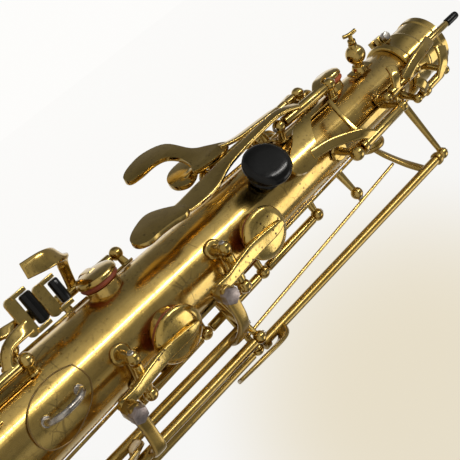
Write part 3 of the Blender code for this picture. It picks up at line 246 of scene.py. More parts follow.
def smooth_path(rows, n):
    """Catmull-Rom through rows of numbers, n steps a span."""
    if n <= 1:
        return rows
    out = []
    k = len(rows)
    for i in range(k - 1):
        p0, p1, p2, p3 = rows[max(i - 1, 0)], rows[i], rows[i + 1], rows[min(i + 2, k - 1)]
        for j in range(n):
            t = j / n
            out.append([0.5 * (2 * b + (c - a) * t + (2 * a - 5 * b + 4 * c - d) * t * t + (3 * b - a - 3 * c + d) * t ** 3) for a, b, c, d in zip(p0, p1, p2, p3)])
    out.append(list(rows[-1]))
    return out


def loft(rows, power=None, hollow=0.0):
    """Bar with unlike sections. Each row: point, face normal, width, thickness."""
    flat = [[*p, *nn, w, t] for p, nn, w, t in rows]
    flat = smooth_path(flat, LSTEP)
    pts = [Vector(f[:3]) for f in flat]
    bm = bmesh.new()
    rings = []
    k = len(pts)
    for i in range(k):
        tang = (pts[min(i + 1, k - 1)] - pts[max(i - 1, 0)]).normalized()
        nn = Vector(flat[i][3:6])
        nn = (nn - tang * nn.dot(tang)).normalized()
        side = tang.cross(nn)
        w, t = max(flat[i][6], 0.2) / 2, max(flat[i][7], 0.2) / 2
        ring = []
        for s in range(LSEC):
            a = 2 * math.pi * (s + 0.5) / LSEC
            c, q = math.cos(a), math.sin(a)
            e = power or 0.55
            cx = math.copysign(abs(c) ** e, c)
            cy = math.copysign(abs(q) ** e, q)
            dish = -hollow * (1 - cx * cx) if q > 0 else 0.0
            ring.append(bm.verts.new(pts[i] + side * (w * cx) + nn * (t * cy + dish)))
        rings.append(ring)
    for r1, r2 in zip(rings, rings[1:]):
        for s in range(LSEC):
            bm.faces.new((r1[s], r1[(s + 1) % LSEC], r2[(s + 1) % LSEC], r2[s]))
    bm.faces.new(list(reversed(rings[0])))
    bm.faces.new(rings[-1])
    return mesh_from_bm(bm)


def arc(az1, az2, h, z1, z2, n):
    return [Q(az1 + (az2 - az1) * i / n, h, z1 + (z2 - z1) * i / n) for i in range(n + 1)]


def saddle(az1, az2, z, r=0.8):
    """Thin wire saddle that joins the feet of one post set, clear of the tube wall."""
    n = max(3, int(abs(az2 - az1) / 12))
    lift = (R(z) + r + GAP + 0.1) / math.cos(math.radians(abs(az2 - az1) / n / 2)) - R(z)
    return wire(arc(az1, az2, lift, z, z, n), r, 1)


def rib(az, z1, z2, w=5.0, th=1.2):
    """Flat rib along the tube, clear of the wall."""
    a, b = Q(az, GAP + th / 2 + 0.1, z1), Q(az, GAP + th / 2 + 0.1, z2)
    return box((a + b) / 2, er(az) * 1.0 + EZ * TAPER, b - a, ((b - a).length, w, th))


def post(az, r, z, foot=3.6, ball_r=None, foot_az=None, foot_z=None):
    """Turned post from a small foot just off the wall out to a ball at radius r."""
    fa, fz = az if foot_az is None else foot_az, z if foot_z is None else foot_z
    n = er(fa)
    base = Q(fa, GAP + 0.25, fz)
    top = P(az, r, z)
    out = [cone(base, top, 2.1, 1.35), ball(top, ball_r or BALL_R)]
    if foot > 4.0 or FEET:
        out.append(cone(base, base + n * 1.0, foot, foot * 0.8))
    return out


def hinge_tube(a, b, r=None, cut=None):
    """Tube between two post balls, short of each by the running gap."""
    a, b = Vector(a), Vector(b)
    d = (b - a).normalized()
    c = (BALL_R if cut is None else cut) + GAP
    return cone(a + d * c, b - d * c, r or TUBE_R)


def cup(az, z, h, r, axis=None, centre=None):
    """Domed key cup whose underside is h above the wall."""
    d = er(az) if axis is None else axis
    c = Q(az, h, z) if centre is None else centre
    return lathe(c, d, [(0.0, 3.6), (r * 0.35, 3.5), (r * 0.72, 3.0), (r * 0.93, 2.2), (r, 1.2), (r, 0.0), (0.0, 0.0)], CSEG)


def disc(az, z, h, r, th, axis=None, centre=None):
    d = er(az) if axis is None else axis
    c = Q(az, h, z) if centre is None else centre
    return cone(c, c + d * th, r, r, CSEG)


# ---- static parts ----
HOLES = [  # azimuth, height, hole radius, chimney top above the wall
    (SIDE_C["cup_az"], SIDE_C["cup_z"], 8.2, 2.6), (SIDE_BB["cup_az"], SIDE_BB["cup_z"], 9.0, 2.6),
    (-84.0, 480.0, 5.2, 2.4), (-125.0, 470.0, 5.6, 2.4), (-144.0, 442.0, 6.2, 2.4), (106.0, 484.0, 5.2, 2.4),
    (-82.0, 327.0, 7.8, 2.6), (-34.0, 116.0, 12.0, 2.6), (-8.0, 66.0, 11.5, 2.6),
    (138.0, 408.0, 8.0, 2.6), (138.0, 372.0, 8.6, 2.6), (138.0, 330.0, 9.6, 2.6),
    (140.0, 232.0, 10.5, 2.6), (140.0, 184.0, 11.5, 2.6), (140.0, 132.0, 12.5, 2.6), (84.0, 74.0, 11.5, 2.6),
]


def body_tube():
    top = RECV_Z - GAP
    adds = [lathe((0, 0, 0), EZ, [(0.0, top), (R(top), top), (R(FOOT_Z), FOOT_Z), (0.0, FOOT_Z)], TSEG)]
    cuts = [lathe((0, 0, 0), EZ, [(0.0, top + 1), (R(top + 1) - WALL, top + 1), (R(FOOT_Z - 1) - WALL, FOOT_Z - 1), (0.0, FOOT_Z - 1)], TSEG)]
    for az, z, r, h in HOLES:
        low = math.sqrt(R(z) ** 2 - min(r, R(z) * 0.9) ** 2) - 1.5
        adds.append(cone(P(az, low, z), Q(az, h, z), r, r, HSEG))
        cuts.append(cone(P(az, 1.0, z), Q(az, h + 1.0, z), r - WALL, r - WALL, HSEG))
    return adds, cuts


def neck_receiver():
    z0, z1 = RECV_Z, TOP_Z
    prof = [(12.2, z0), (15.0, z0), (15.6, z0 + 1.0), (15.6, z0 + 3.0), (14.9, z0 + 4.0), (14.2, z0 + 4.6), (14.2, z0 + 13.0), (14.6, z0 + 13.6), (14.6, z0 + 15.4), (14.2, z0 + 16.0), (14.3, z1 - 4.6), (14.9, z1 - 3.8), (14.9, z1 - 0.4), (14.6, z1), (12.2, z1)]
    adds = [lathe((0, 0, 0), EZ, prof, TSEG)]
    for s in (-1, 1):
        adds.append(box(P(-96, 15.6, 522.5) + et(-96) * s * 2.6, er(-96), EZ, (7.0, 3.4, 5.6)))
    adds += [cone(P(30, 13.4, 527.0), P(30, 24.0, 527.0), 1.9, 1.3), ball(P(30, 24.0, 527.0), 2.4)]
    cuts = [box(P(-96, 14.0, 535.0), er(-96), EZ, (32.0, 1.2, 16.0)), cone(P(-96, 16.4, 522.5) - et(-96) * 8, P(-96, 16.4, 522.5) + et(-96) * 8, 1.35, 1.35, 12)]
    return adds, cuts


def neck_screw():
    c = P(-96, 16.4, 522.5)
    t = et(-96)
    return [cone(c - t * 5.4, c + t * 5.2, 1.0, 1.0, 12), cone(c + t * 4.7, c + t * 7.6, 2.4, 2.1, 12)], []


def bow_rings(r0, r1, n, extra):
    rings = []
    for i in range(n + 1):
        a = math.pi * i / n
        r = r0 + (r1 - r0) * i / n + extra
        c = Vector((0.0, -BELL_Y / 2 + BELL_Y / 2 * math.cos(a), FOOT_Z - GAP / 2 - BELL_Y / 2 * math.sin(a)))
        out = Vector((0.0, math.cos(a), -math.sin(a)))
        rings.append((c, out, r))
    return rings


def swept_shell(rings_out, rings_in, seg):
    """Closed wall between an outer and an inner sweep of circles."""
    bm = bmesh.new()
    grid = []
    for rings in (rings_out, rings_in):
        rows = []
        for c, out, r in rings:
            rows.append([bm.verts.new(c + out * (r * math.cos(2 * math.pi * s / seg)) + Vector((1, 0, 0)) * (r * math.sin(2 * math.pi * s / seg))) for s in range(seg)])
        grid.append(rows)
    for rows in grid:
        for r1, r2 in zip(rows, rows[1:]):
            for s in range(seg):
                bm.faces.new((r1[s], r1[(s + 1) % seg], r2[(s + 1) % seg], r2[s]))
    for k in (0, -1):
        a, b = grid[0][k], grid[1][k]
        for s in range(seg):
            bm.faces.new((a[s], a[(s + 1) % seg], b[(s + 1) % seg], b[s]))
    return mesh_from_bm(bm)


def bow():
    r0, r1 = R(FOOT_Z), BELL_R0
    adds = [swept_shell(bow_rings(r0, r1, BOWN, 0.0), bow_rings(r0, r1, BOWN, -WALL), TSEG)]
    return adds, []


def bow_ring(y, r):
    z = FOOT_Z
    return [lathe((0, y, 0), EZ, [(r + GAP, z + 0.8), (r + 1.4, z + 0.8), (r + 2.0, z + 1.8), (r + 2.0, z + 6.0), (r + 1.4, z + 7.0), (r + GAP, z + 7.0)], TSEG)], []


def bell_radius(z):
    t = max(0.0, min(1.0, (z - FOOT_Z) / (BELL_TOP - FOOT_Z)))
    return BELL_R0 + 9.0 * t + (RIM_R - BELL_R0 - 9.0) * t ** 7


def bell():
    zs = [FOOT_Z + GAP] + [FOOT_Z + (BELL_TOP - FOOT_Z) * f for f in BELL_F]
    outer = [(bell_radius(z), z) for z in zs]
    outer[0] = (outer[0][0] - 0.0, outer[0][1])
    rim = [(RIM_R + 1.2, BELL_TOP - 1.6), (RIM_R + 1.9, BELL_TOP), (RIM_R + 1.0, BELL_TOP + 1.5), (RIM_R - 0.6, BELL_TOP + 1.2)]
    inner = [(bell_radius(z) - WALL, z) for z in reversed(zs)]
    adds = [lathe((0, -BELL_Y, 0), EZ, outer + rim + inner, TSEG)]
    cuts = []
    for z, r in ((112.0, 14.0), (168.0, 15.5)):
        x = -(bell_radius(z) - 8.0)
        adds.append(cone((bell_radius(z) * 0.80, -BELL_Y, z), (43.0, -BELL_Y, z), r, r, HSEG))
        cuts.append(cone((5.0, -BELL_Y, z), (44.0, -BELL_Y, z), r - WALL, r - WALL, HSEG))
    bore = lathe((0, -BELL_Y, 0), EZ, [(0.0, BELL_TOP + 3)] + [(bell_radius(z) - WALL, z) for z in [BELL_TOP + 3] + list(reversed(zs)) + [FOOT_Z - 1]] + [(0.0, FOOT_Z - 1)], TSEG)
    return adds, [bore] + cuts


def bell_brace():
    z = 190.0
    rb = bell_radius(z)
    n1, n2 = er(200.0), Vector((-er(200.0).x * -1.0, -er(200.0).y, 0.0))
    f1 = n1 * (R(z) + 1.7) + EZ * z
    f2 = Vector((0.0, -BELL_Y, z)) + n2 * (rb + 2.8)
    adds = [box(f1, n1, EZ, (12.0, 10.0, 1.6)), box(f2, n2, EZ, (10.0, 12.0, 1.6)), box((f1 + f2) / 2, (1, 0, 0), f2 - f1, ((f2 - f1).length + 0.6, 6.0, 3.6))]
    return adds, []


def lyre_holder():
    az, z = -64.0, 495.5
    n = er(az)
    b = Q(az, GAP + 0.5, z)
    adds = [box(b + n * 0.5, n, EZ, (13.0, 6.0, 1.2)), cone(b, b + n * 3.2, 4.2, 3.2), cone(b + n * 2.6, b + n * 6.5, 2.4, 2.4),
            ball(b + n * 9.0, 4.9), cone(b + n * 12.8, b + n * 15.0, 2.4, 2.1)]
    c = b + n * 9.0
    cuts = [cone(c - EZ * 6, c + EZ * 6, 1.7, 1.7, 12), cone(c, c + n * 9.0, 1.25, 1.25, 12)]
    return adds, cuts


def lyre_screw():
    az, z = -64.0, 495.5
    n = er(az)
    c = Q(az, GAP + 9.5, z)
    t = (EZ + et(az) * 0.25).normalized()
    adds = [cone(c + n * 2.2, c + n * 9.6, 0.95, 0.95, 12), cone(c + n * 6.4, c + n * 8.0, 2.0, 2.0), cone(c + n * 7.6, c + n * 11.0, 1.1, 1.1), wire([c + n * 11.4 - t * 3.7, c + n * 11.0 - t * 1.8, c + n * 10.9, c + n * 11.0 + t * 1.8, c + n * 11.4 + t * 3.7], 1.0)]
    return adds, []


SHIELD = [(291.8, -26.0), (293.0, -12.0), (292.6, 2.0), (288.6, 19.0), (281.0, 33.0), (274.0, 40.0), (266.0, 30.0), (262.6, 14.0), (263.6, -8.0), (269.0, -24.0), (277.0, -32.5), (285.0, -32.5)]


def strap_ring():
    az0 = 3.0
    lo, hi = 258.0, 298.0
    shell = lathe((0, 0, 0), EZ, [(R(hi) + GAP, hi), (R(hi) + 1.3, hi), (R(lo) + 1.3, lo), (R(lo) + GAP, lo)], TSEG * 2)
    out = [(z - 278.0, -R(z) * math.sin(math.radians(a - az0))) for z, a in SHIELD]
    out = [tuple(v) for v in smooth_path([list(o) for o in out + out[:1]], PSTEP)[:-1]]
    prism = plate(P(az0, 18.0, 278.0), er(az0), EZ, out, 24.0)
    zt, zb = 287.0, 270.0
    pts = [Q(0, 0.9, zt), Q(0, 4.6, zt + 0.2), Q(0.5, 7.4, zt - 1.8), Q(1, 8.9, zt - 5.0), Q(1, 9.3, (zt + zb) / 2), Q(1, 8.9, zb + 5.0), Q(0.5, 7.4, zb + 1.8), Q(0, 4.6, zb - 0.2), Q(0, 0.9, zb)]
    pts = [Vector(v) for v in smooth_path([list(p) for p in pts], max(1, LSTEP // 2))]
    return [("intersect", shell, prism), wire(pts, 1.45), cone(Q(0, 0.8, zt), Q(0, 2.2, zt), 2.6, 2.2), cone(Q(0, 0.8, zb), Q(0, 2.2, zb), 2.6, 2.2)], []


def thumb_rest():
    az, z = THUMB
    n = er(az)
    b = Q(az, GAP + 0.4, z)
    prof = [(0.0, 12.2), (5.0, 12.1), (8.4, 11.6), (10.2, 10.6), (11.1, 9.2), (11.1, 7.8), (10.4, 7.0), (6.2, 6.6), (5.4, 3.6), (6.6, 2.0), (7.6, 1.0), (7.6, 0.0), (0.0, 0.0)]
    return [lathe(b, n, prof, CSEG)], []


def thumb_hook():
    az, z = -6.0, 172.0
    n, t = er(az), et(az)
    b = Q(az, GAP + 0.9, z)
    adds = [box(b, n, EZ, (26.0, 11.0, 1.4)), cone(b, b + n * 4.0, 3.4, 3.0),
            loft([(b + EZ * 9, EZ, 9, 2.4), (b + EZ * 10.5 + n * 7, EZ, 11, 2.4), (b + EZ * 9 + n * 15, EZ + n * 0.4, 13, 2.4), (b + EZ * 3 + n * 22, n + EZ * 0.5, 13, 2.2), (b - EZ * 7 + n * 24, n, 11, 2.0)])]
    return adds, []


def palm_posts():
    adds = []
    for az, r, z in ((-62, 23.6, 436.0), (-60, 22.6, 472.0), (-95, 24.4, 434.0), (-95, 24.0, 464.0), (-112, 24.8, 402.0), (-112, 24.8, 432.0)):
        adds += post(az, r, z, 3.0)
    adds += [rib(-61, 433.0, 475.0, 3.4), rib(-95, 431.0, 467.0, 3.2), rib(-112, 399.0, 435.0, 3.2), saddle(-61, -112, 433.5)]
    return adds, []


def side_c_posts():
    s = SIDE_C
    adds = []
    for k, fa in ((-1, s["az"] - s["half"] - 4), (1, s["az"] + s["half"] + 3)):
        adds += post(s["az"] + k * s["half"], s["r"], s["z"], 4.6 if k < 0 else 3.4, foot_az=fa)
    adds.append(saddle(s["az"] - s["half"] - 4, s["az"] + s["half"] + 3, s["z"]))
    return adds, []


def side_bb_posts():
    s = SIDE_BB
    adds = []
    for k, fa in ((-1, s["az"] - s["half"] - 3), (1, s["az"] + s["half"] + 3)):
        adds += post(s["az"] + k * s["half"], s["r"], s["z"], 4.8 if k < 0 else 3.6, foot_az=fa)
    adds.append(saddle(s["az"] - s["half"] - 3, s["az"] + s["half"] + 3, s["z"]))
    return adds, []


ROD_LOW = 238.0


def side_rod_posts():
    adds = []
    for z in (508.0, 362.0, 230.0):
        adds += post(ROD_E[0], ROD_E[1], z, 4.0, 3.0, foot_az=77)
    for z in (362.0, 230.0):
        adds += post(ROD_A[0], ROD_A[1], z, 3.6, 2.7, foot_az=76)
    for z in (362.0, 230.0):
        adds += post(ROD_B[0], ROD_B[1], z, 3.6, 3.0, foot_az=75)
    adds.append(rib(76, 226.0, 512.0, 3.2, 1.4))
    adds += post(77, 29.4, 452.0, 3.6, 3.0)
    adds.append(loft([(P(78.3, 32.1, 479.0), er(60), 3.0, 1.5), (P(79.2, 34.2, 446.0), er(60), 3.2, 1.5), (P(80.2, 38.0, 381.5), er(60), 3.2, 1.5), (P(80.8, 39.4, 361.5), er(60), 3.2, 1.5)]))
    adds.append(cone(P(77, 29.4, 452.0), P(79, 33.8, 452.0), 1.4, 1.2))
    return adds, []


def upper_stack_posts():
    adds = []
    for z in (432.0, 351.0, 306.0, 391.0):
        adds += post(92, R(z) + 8.5, z, 3.2)
    adds.append(rib(92, 302.0, 436.0, 5.0))
    return adds, []


def lower_stack_posts():
    adds = []
    for z in (256.0, 208.0, 158.0, 106.0):
        adds += post(96, R(z) + 8.5, z, 3.2)
    adds.append(rib(96, 102.0, 260.0, 4.0))
    return adds, []


def octave_posts():
    adds = []
    adds += post(21, 27.0, 452.0, 5.4, 3.5)
    adds += post(21, 25.6, 490.0, 3.2, 2.7)
    adds += post(5, 20.9, 488.0, 2.8, 2.4)
    adds += post(5, 20.2, 513.0, 2.8, 2.4, foot_z=511.0)
    adds += [rib(21, 447.0, 493.0, 4.0), rib(5, 484.5, 513.4, 4.0), saddle(5, 21, 489.0)]
    return adds, []


def table_posts():
    adds = []
    for az, z, h in ((-112, 345.0, 7.5), (-112, 313.0, 7.5), (-70, 60.0, 8.0), (-70, 280.0, 8.0), (-50, 226.0, 8.0), (-50, 280.0, 8.0), (-34, 196.0, 8.0), (-34, 256.0, 8.0)):
        adds += post(az, R(z) + h, z, 3.0)
    adds += [rib(-112, 276.0, 348.0, 4.0), rib(-70, 56.0, 284.0, 4.0), rib(-50, 223.0, 283.0, 4.0), rib(-34, 193.0, 259.0, 4.0), saddle(-34, -70, 240.0), saddle(-70, -112, 281.0)]
    return adds, []


def bell_key_posts():
    adds = []
    y = -BELL_Y + 31.0
    for z in (86.0, 140.0, 194.0):
        rb = bell_radius(z)
        foot = Vector((rb * 0.80, -BELL_Y + rb * 0.6, z))
        n = Vector((0.80, 0.6, 0.0))
        base = foot + n * (GAP + 0.3)
        adds += [cone(base, base + n * 1.0, 3.4, 3.0), cone(base + n * 0.6, (46.5, y, z), 2.0, 1.5), ball((46.5, y, z), BALL_R)]
    pts = [Vector(((bell_radius(z) + 1.6) * 0.80, -BELL_Y + (bell_radius(z) + 1.6) * 0.6, z)) for z in (84.0, 140.0, 196.0)]
    adds.append(wire(pts, 1.0, 1))
    return adds, []


def low_key_posts():
    adds = []
    for z in (54.0, 94.0):
        adds += post(52, R(z) + 8.5, z, 3.2)
    adds += [rib(52, 50.0, 98.0, 4.5)]
    for z in (44.0, 150.0):
        adds += post(24, R(z) + 8.5, z, 3.2)
    adds += [rib(24, 40.0, 154.0, 4.5), saddle(24, 52, 60.0)]
    return adds, []




# ---- moving parts: each returns adds, cuts, pivot, axis ----
PAD_H = 2.9        # pad underside above the wall when a key is closed
PAD_T = 2.4


def zpivot(az, r, z):
    return P(az, r, z)


def key_cup(az, z, h, r):
    t = PAD_T
    return [lathe(Q(az, h, z), er(az), [(0.0, t + 3.6), (r * 0.4, t + 3.5), (r * 0.76, t + 3.0), (r * 0.94, t + 2.2), (r, t + 1.2), (r, t), (r * 0.9, t), (r * 0.9, 0.0), (0.0, 0.0)], CSEG)]


def arm_rows(points, w0, w1, th):
    """points of (azimuth, radius, height)."""
    n = len(points)
    return [(P(a, r, z), er(a), w0 + (w1 - w0) * i / (n - 1), th) for i, (a, r, z) in enumerate(points)]


def bridge(az_h, r_h, az_c, z, h_top, w=4.6, th=2.4, z_h=None):
    """Arm from a hinge tube across to the crown of its cup."""
    zh = z if z_h is None else z_h
    mid = az_h + (az_c - az_h) * 0.42
    return loft(arm_rows([(az_h, r_h + 0.6, zh), (mid, max(r_h + 1.4, R(z) + h_top - 0.4), (z + zh) / 2), (az_c, R(z) + h_top, z)], w + 1.2, w - 0.6, th))


def outline(pts):
    """Round a closed outline with a curve through its points."""
    n = max(1, PSTEP - 1)
    k = len(pts)
    if n == 1:
        return pts
    rows = smooth_path([list(pts[(i - 1) % k]) for i in range(k + 3)], n)
    return [tuple(v) for v in rows[n:n * (k + 1)]]


def palm_f():
    a, b = P(-62, 23.6, 436.0), P(-60, 22.6, 472.0)
    adds = [hinge_tube(a, b, 2.6), cup(-84, 480.0, PAD_H + PAD_T + 0.3, 7.2), loft(arm_rows([(-61, 24.2, 464.0), (-72, 24.6, 470.0), (-84, R(480) + 8.2, 480.0)], 5.0, 4.0, 2.2)),
            loft([(P(-62, 25.2, 450.0), er(-62), 5.0, 2.2), (P(-63.5, 28.3, 441.0), er(-63), 5.0, 2.2), (P(-65.5, 28.5, 431.0), er(-65), 5.0, 2.2), (P(-67, 26.8, 405.0), er(-64), 6.4, 2.2), (P(-63, 25.8, 389.0), er(-60), 11.0, 2.2), (P(-59, 26.8, 374.0), er(-60), 10.0, 2.2), (P(-58, 29.4, 365.0), er(-62), 7.0, 2.0), (P(-58, 30.6, 357.0), er(-62), 7.0, 2.0)]),
            plate(P(-58, 31.0, 350.0), er(-62), EZ, outline([(20.0, -5.0), (14.8, 3.1), (8.0, 8.0), (-1.0, 6.0), (-6.6, 2.0), (-7.1, -3.0), (-3.2, -6.3), (3.5, -6.6), (10.4, -7.5), (16.5, -9.1)]), 2.4)]
    return adds, [], a, (b - a).normalized()


def palm_d():
    a, b = P(-95, 24.4, 434.0), P(-95, 24.0, 464.0)
    adds = [hinge_tube(a, b), *key_cup(-125, 470.0, PAD_H, 7.4), bridge(-95, 24.2, -125, 470.0, 8.4, z_h=453.0),
            loft(arm_rows([(-94, 25.6, 446.0), (-84, 26.6, 444.0), (-81, 27.6, 434.0), (-83, 28.6, 419.0), (-87, 30.6, 410.0)], 4.6, 6.0, 2.0)),
            plate(P(-90, 31.0, 410.0), er(-58), EZ, outline([(4.0, -3.5), (-1.5, 3.5), (-6.2, 9.6), (-9.0, 24.0), (-19.0, 29.4), (-29.5, 28.4), (-35.6, 25.0), (-36.0, 20.2), (-29.9, 18.8), (-21.6, 18.8), (-16.4, 16.4), (-14.0, 9.4), (-15.2, 2.0), (-18.0, -3.2), (-12.0, -5.5), (-3.0, -6.4)]), 2.4)]
    return adds, [], a, EZ


EB_LEAF = [(16.1, 8.7), (17.2, 3.0), (13.0, -4.5), (5.1, -7.6), (0.7, -3.4), (1.8, 3.7), (7.7, 8.4)]


def palm_eb():
    a, b = P(-112, 24.8, 402.0), P(-112, 24.8, 432.0)
    adds = [hinge_tube(a, b), *key_cup(-144, 442.0, PAD_H, 8.0), bridge(-112, 24.8, -144, 442.0, 8.4, z_h=418.0),
            loft([(P(-111, 26.2, 416.0), er(-110), 5.0, 2.2), (P(-106, 29.0, 411.0), er(-104), 5.4, 2.2), (P(-107, 30.3, 401.0), er(-92), 6.0, 2.2), (P(-109, 30.6, 392.0), er(-66), 7.0, 2.2)]),
            plate(P(-110, 31.0, 385.0), er(-62), EZ, outline(EB_LEAF), 2.4)]
    return adds, [], a, EZ


def seesaw(s, lift):
    """Side key cup on a hinge across the tube; its tail is pushed by the long lever."""
    a = P(s["az"] - s["half"], s["r"], s["z"])
    b = P(s["az"] + s["half"], s["r"], s["z"])
    rc = (a + b).length / 2
    mid = (a + b) / 2
    hr = Vector((mid.x, mid.y, 0)).length
    top = R(s["cup_z"]) + PAD_H + PAD_T + 0.3
    adds = [hinge_tube(a, b, 2.3), cup(s["cup_az"], s["cup_z"], PAD_H + PAD_T + 0.3, s["cup_r"])]
    ca = s["cup_az"]
    adds.append(loft([(P(ca, top + 4.0, s["cup_z"] + s["cup_r"] * 0.72), er(ca), 2.4, 1.4), (P(ca, top + 4.3, s["cup_z"] + 3.0), er(ca), 5.4, 2.2), (P(ca, top + 3.8, s["cup_z"] - s["cup_r"] * 0.8), er(ca), 6.8, 2.4),
                      (P((ca + s["az"]) / 2, hr + 2.6, s["z"] + 2.0), er(ca), 6.6, 3.0), (P(s["az"] - 1, hr + 4.4, s["z"] - 7.0), er(ca), 5.6, 2.6), (P(s["az"] - 2, hr + 4.6, s["tail_z"]), er(ca), 5.0, 2.4)]))
    adds.append(cone(P(s["az"] - 2, hr + 4.2, s["tail_z"]), P(s["az"] - 2, hr + 6.8, s["tail_z"]), 2.6, 2.4))
    return adds, [], a, (b - a).normalized()


def side_c_cup():
    return seesaw(SIDE_C, 0)


def side_bb_cup():
    return seesaw(SIDE_BB, 0)


def pad_disc(az, z, r, th=None):
    return [disc(az, z, PAD_H, r, (th or PAD_T))], []


def tail_point(s):
    a = P(s["az"] - s["half"], s["r"], s["z"])
    b = P(s["az"] + s["half"], s["r"], s["z"])
    m = (a + b) / 2
    return s["az"] - 2, Vector((m.x, m.y, 0)).length + 6.8, s["tail_z"]


def lever(rod, s, z_low, z_high, touch_z, touch_az, z_arm):
    az, r = rod
    ta, tr, tz = tail_point(s)
    a, b = P(az, r, z_low), P(az, r, z_high)
    n = er(ta)
    tip = P(ta, tr + 0.8, tz)
    adds = [cone(a, b, ROD_R, ROD_R)]
    adds.append(cone(tip, tip + n * 5.2, 3.9, 3.9, 6, x=EZ))
    top = tip + n * 4.4
    adds.append(loft([(P(az, r + 0.4, z_arm), er(az), 7.0, 3.6), (P(az - 14, max(r, tr) + 3.4, z_arm - 1.0), er(az - 14), 6.0, 3.0), (P((az + ta) / 2 - 6, tr + 8.0, (z_arm + tz) / 2), er((az + ta) / 2 - 8), 5.4, 2.8), (top + n * 1.0, n, 6.0, 2.8), (top + n * 0.6 + et(ta) * -4.0, n, 4.0, 2.4)]))
    adds.append(cone(top + n * 0.2, top + n * 3.9, 4.1, 3.9, 6, x=EZ))
    adds.append(loft([(P(az, r + 0.6, touch_z + 16.0), er(az), 4.5, 3.0), (P(touch_az, r + 6.0, touch_z + 12.0), er(touch_az), 9.0, 2.2), (P(touch_az, r + 8.0, touch_z), er(touch_az), 10.5, 2.2), (P(touch_az, r + 7.2, touch_z - 12.0), er(touch_az), 8.0, 2.0)]))
    return adds, [], a, EZ


def side_c_lever():
    return lever(ROD_A, SIDE_C, 230.0 + 3.0, 362.0 - 3.0, 276.0, 56.0, 354.0)


def side_bb_lever():
    return lever(ROD_B, SIDE_BB, 230.0 + 3.3, 362.0 - 3.3, 250.0, 58.0, 296.0)


def side_e_key():
    az, r = ROD_E
    a = P(az, r, 508.0 - 3.3)
    b = P(az, r, 362.0 + 3.3)
    adds = [cone(b, a, ROD_R, ROD_R), cone(a - EZ * 2.4, a - EZ * 0.2, 3.3, 3.3), cone(b + EZ * 0.2, b + EZ * 3.0, 3.6, 3.6)]
    adds += key_cup(106, 484.0, PAD_H, 7.4)
    adds.append(loft(arm_rows([(az, r, 494.0), (91, 38.0, 491.0), (100, 29.0, 487.0), (106, R(484) + 8.2, 484.0)], 5.0, 4.4, 2.4)))
    adds.append(loft([(P(az, r + 0.6, 378.0), er(az), 4.5, 3.0), (P(az - 6, r + 4.0, 372.0), er(az - 8), 7.0, 2.2), (P(az - 12, r + 3.6, 356.0), er(az - 12), 9.0, 2.2), (P(az - 12, r + 3.0, 342.0), er(az - 12), 7.0, 2.0)]))
    return adds, [], P(az, r, 508.0), EZ


def rod_e_lower():
    """Fixed stay between the two lower pillars of the outer line."""
    az, r = ROD_E
    return [cone(P(az, r, 230.0 + 3.3), P(az, r, 362.0 - 3.3), ROD_R, ROD_R)], []


STACK_OPEN = 2.2


def stack_key(az_h, az_c, z, rc, tube, touch, arm_z=None):
    r_h = R(sum(tube) / 2) + 8.5
    a, b = P(az_h, R(tube[0]) + 8.5, tube[0]), P(az_h, R(tube[1]) + 8.5, tube[1])
    adds = [hinge_tube(a, b, 2.2), *key_cup(az_c, z, PAD_H + STACK_OPEN, rc)]
    s = 1 if az_c > az_h else -1
    rb = R(z) + PAD_H + STACK_OPEN + PAD_T + 2.9
    rh = R(z) + 8.5
    adds.append(loft(arm_rows([(az_h, rh + 0.4, z), (az_h + s * 12, rb + 0.8, z), (az_c - s * 4, rb + 1.0, z), (az_c + s * 10, rb + 0.6, z)], 6.0, 4.0, 2.4)))
    if touch:
        ta, tz = touch
        adds.append(loft(arm_rows([(az_c - s * 2, rb + 1.0, z), (ta, rb + 2.6, (z + tz) / 2), (ta, rb + 3.0, tz)], 4.6, 5.0, 2.4)))
        adds.append(lathe(P(ta, rb + 2.4, tz), er(ta), [(0.0, 3.0), (2.6, 3.0), (5.2, 3.5), (6.2, 3.2), (6.4, 2.0), (5.4, 0.0), (0.0, 0.0)], CSEG))
    return adds, [], a, (b - a).normalized()


def key_b():
    return stack_key(92, 138, 408.0, 9.8, (391.0, 432.0), (150, 426.0))


def key_a():
    return stack_key(92, 138, 372.0, 10.4, (351.0, 391.0), (150, 390.0))


def key_g():
    return stack_key(92, 138, 330.0, 11.4, (306.0, 351.0), (150, 351.0))


def key_f():
    return stack_key(96, 140, 232.0, 12.3, (208.0, 256.0), (152, 210.0))


def key_e():
    return stack_key(96, 140, 184.0, 13.3, (158.0, 208.0), (152, 160.0))


def key_d():
    return stack_key(96, 140, 132.0, 14.3, (106.0, 158.0), (152, 108.0))


def low_eb_key():
    a, b = P(24, R(44) + 8.5, 44.0), P(24, R(150) + 8.5, 150.0)
    adds = [hinge_tube(a, b, 2.2), *key_cup(-8, 66.0, PAD_H, 13.6), bridge(24, R(66) + 8.5, -8, 66.0, 8.4, 6.0, 2.6),
            loft([(P(25, R(130) + 9.5, 134.0), er(26), 5.0, 2.6), (P(33, R(130) + 14.0, 138.0), er(34), 8.0, 2.4), (P(40, R(134) + 15.4, 140.0), er(42), 13.0, 2.4), (P(46, R(138) + 15.0, 141.0), er(46), 11.0, 2.2)])]
    return adds, [], a, (b - a).normalized()


def low_c_key():
    a, b = P(52, R(54) + 8.5, 54.0), P(52, R(94) + 8.5, 94.0)
    adds = [hinge_tube(a, b, 2.2), *key_cup(84, 74.0, PAD_H + STACK_OPEN, 13.2), bridge(52, R(74) + 8.5, 84, 74.0, 10.8, 6.0, 2.6),
            loft([(P(53, R(82) + 9.2, 82.0), er(54), 5.0, 2.6), (P(61, R(96) + 15.0, 95.0), er(60), 7.0, 2.4), (P(63, R(110) + 15.0, 112.0), er(62), 13.0, 2.4), (P(64, R(120) + 15.0, 122.0), er(62), 12.0, 2.2)])]
    return adds, [], a, (b - a).normalized()


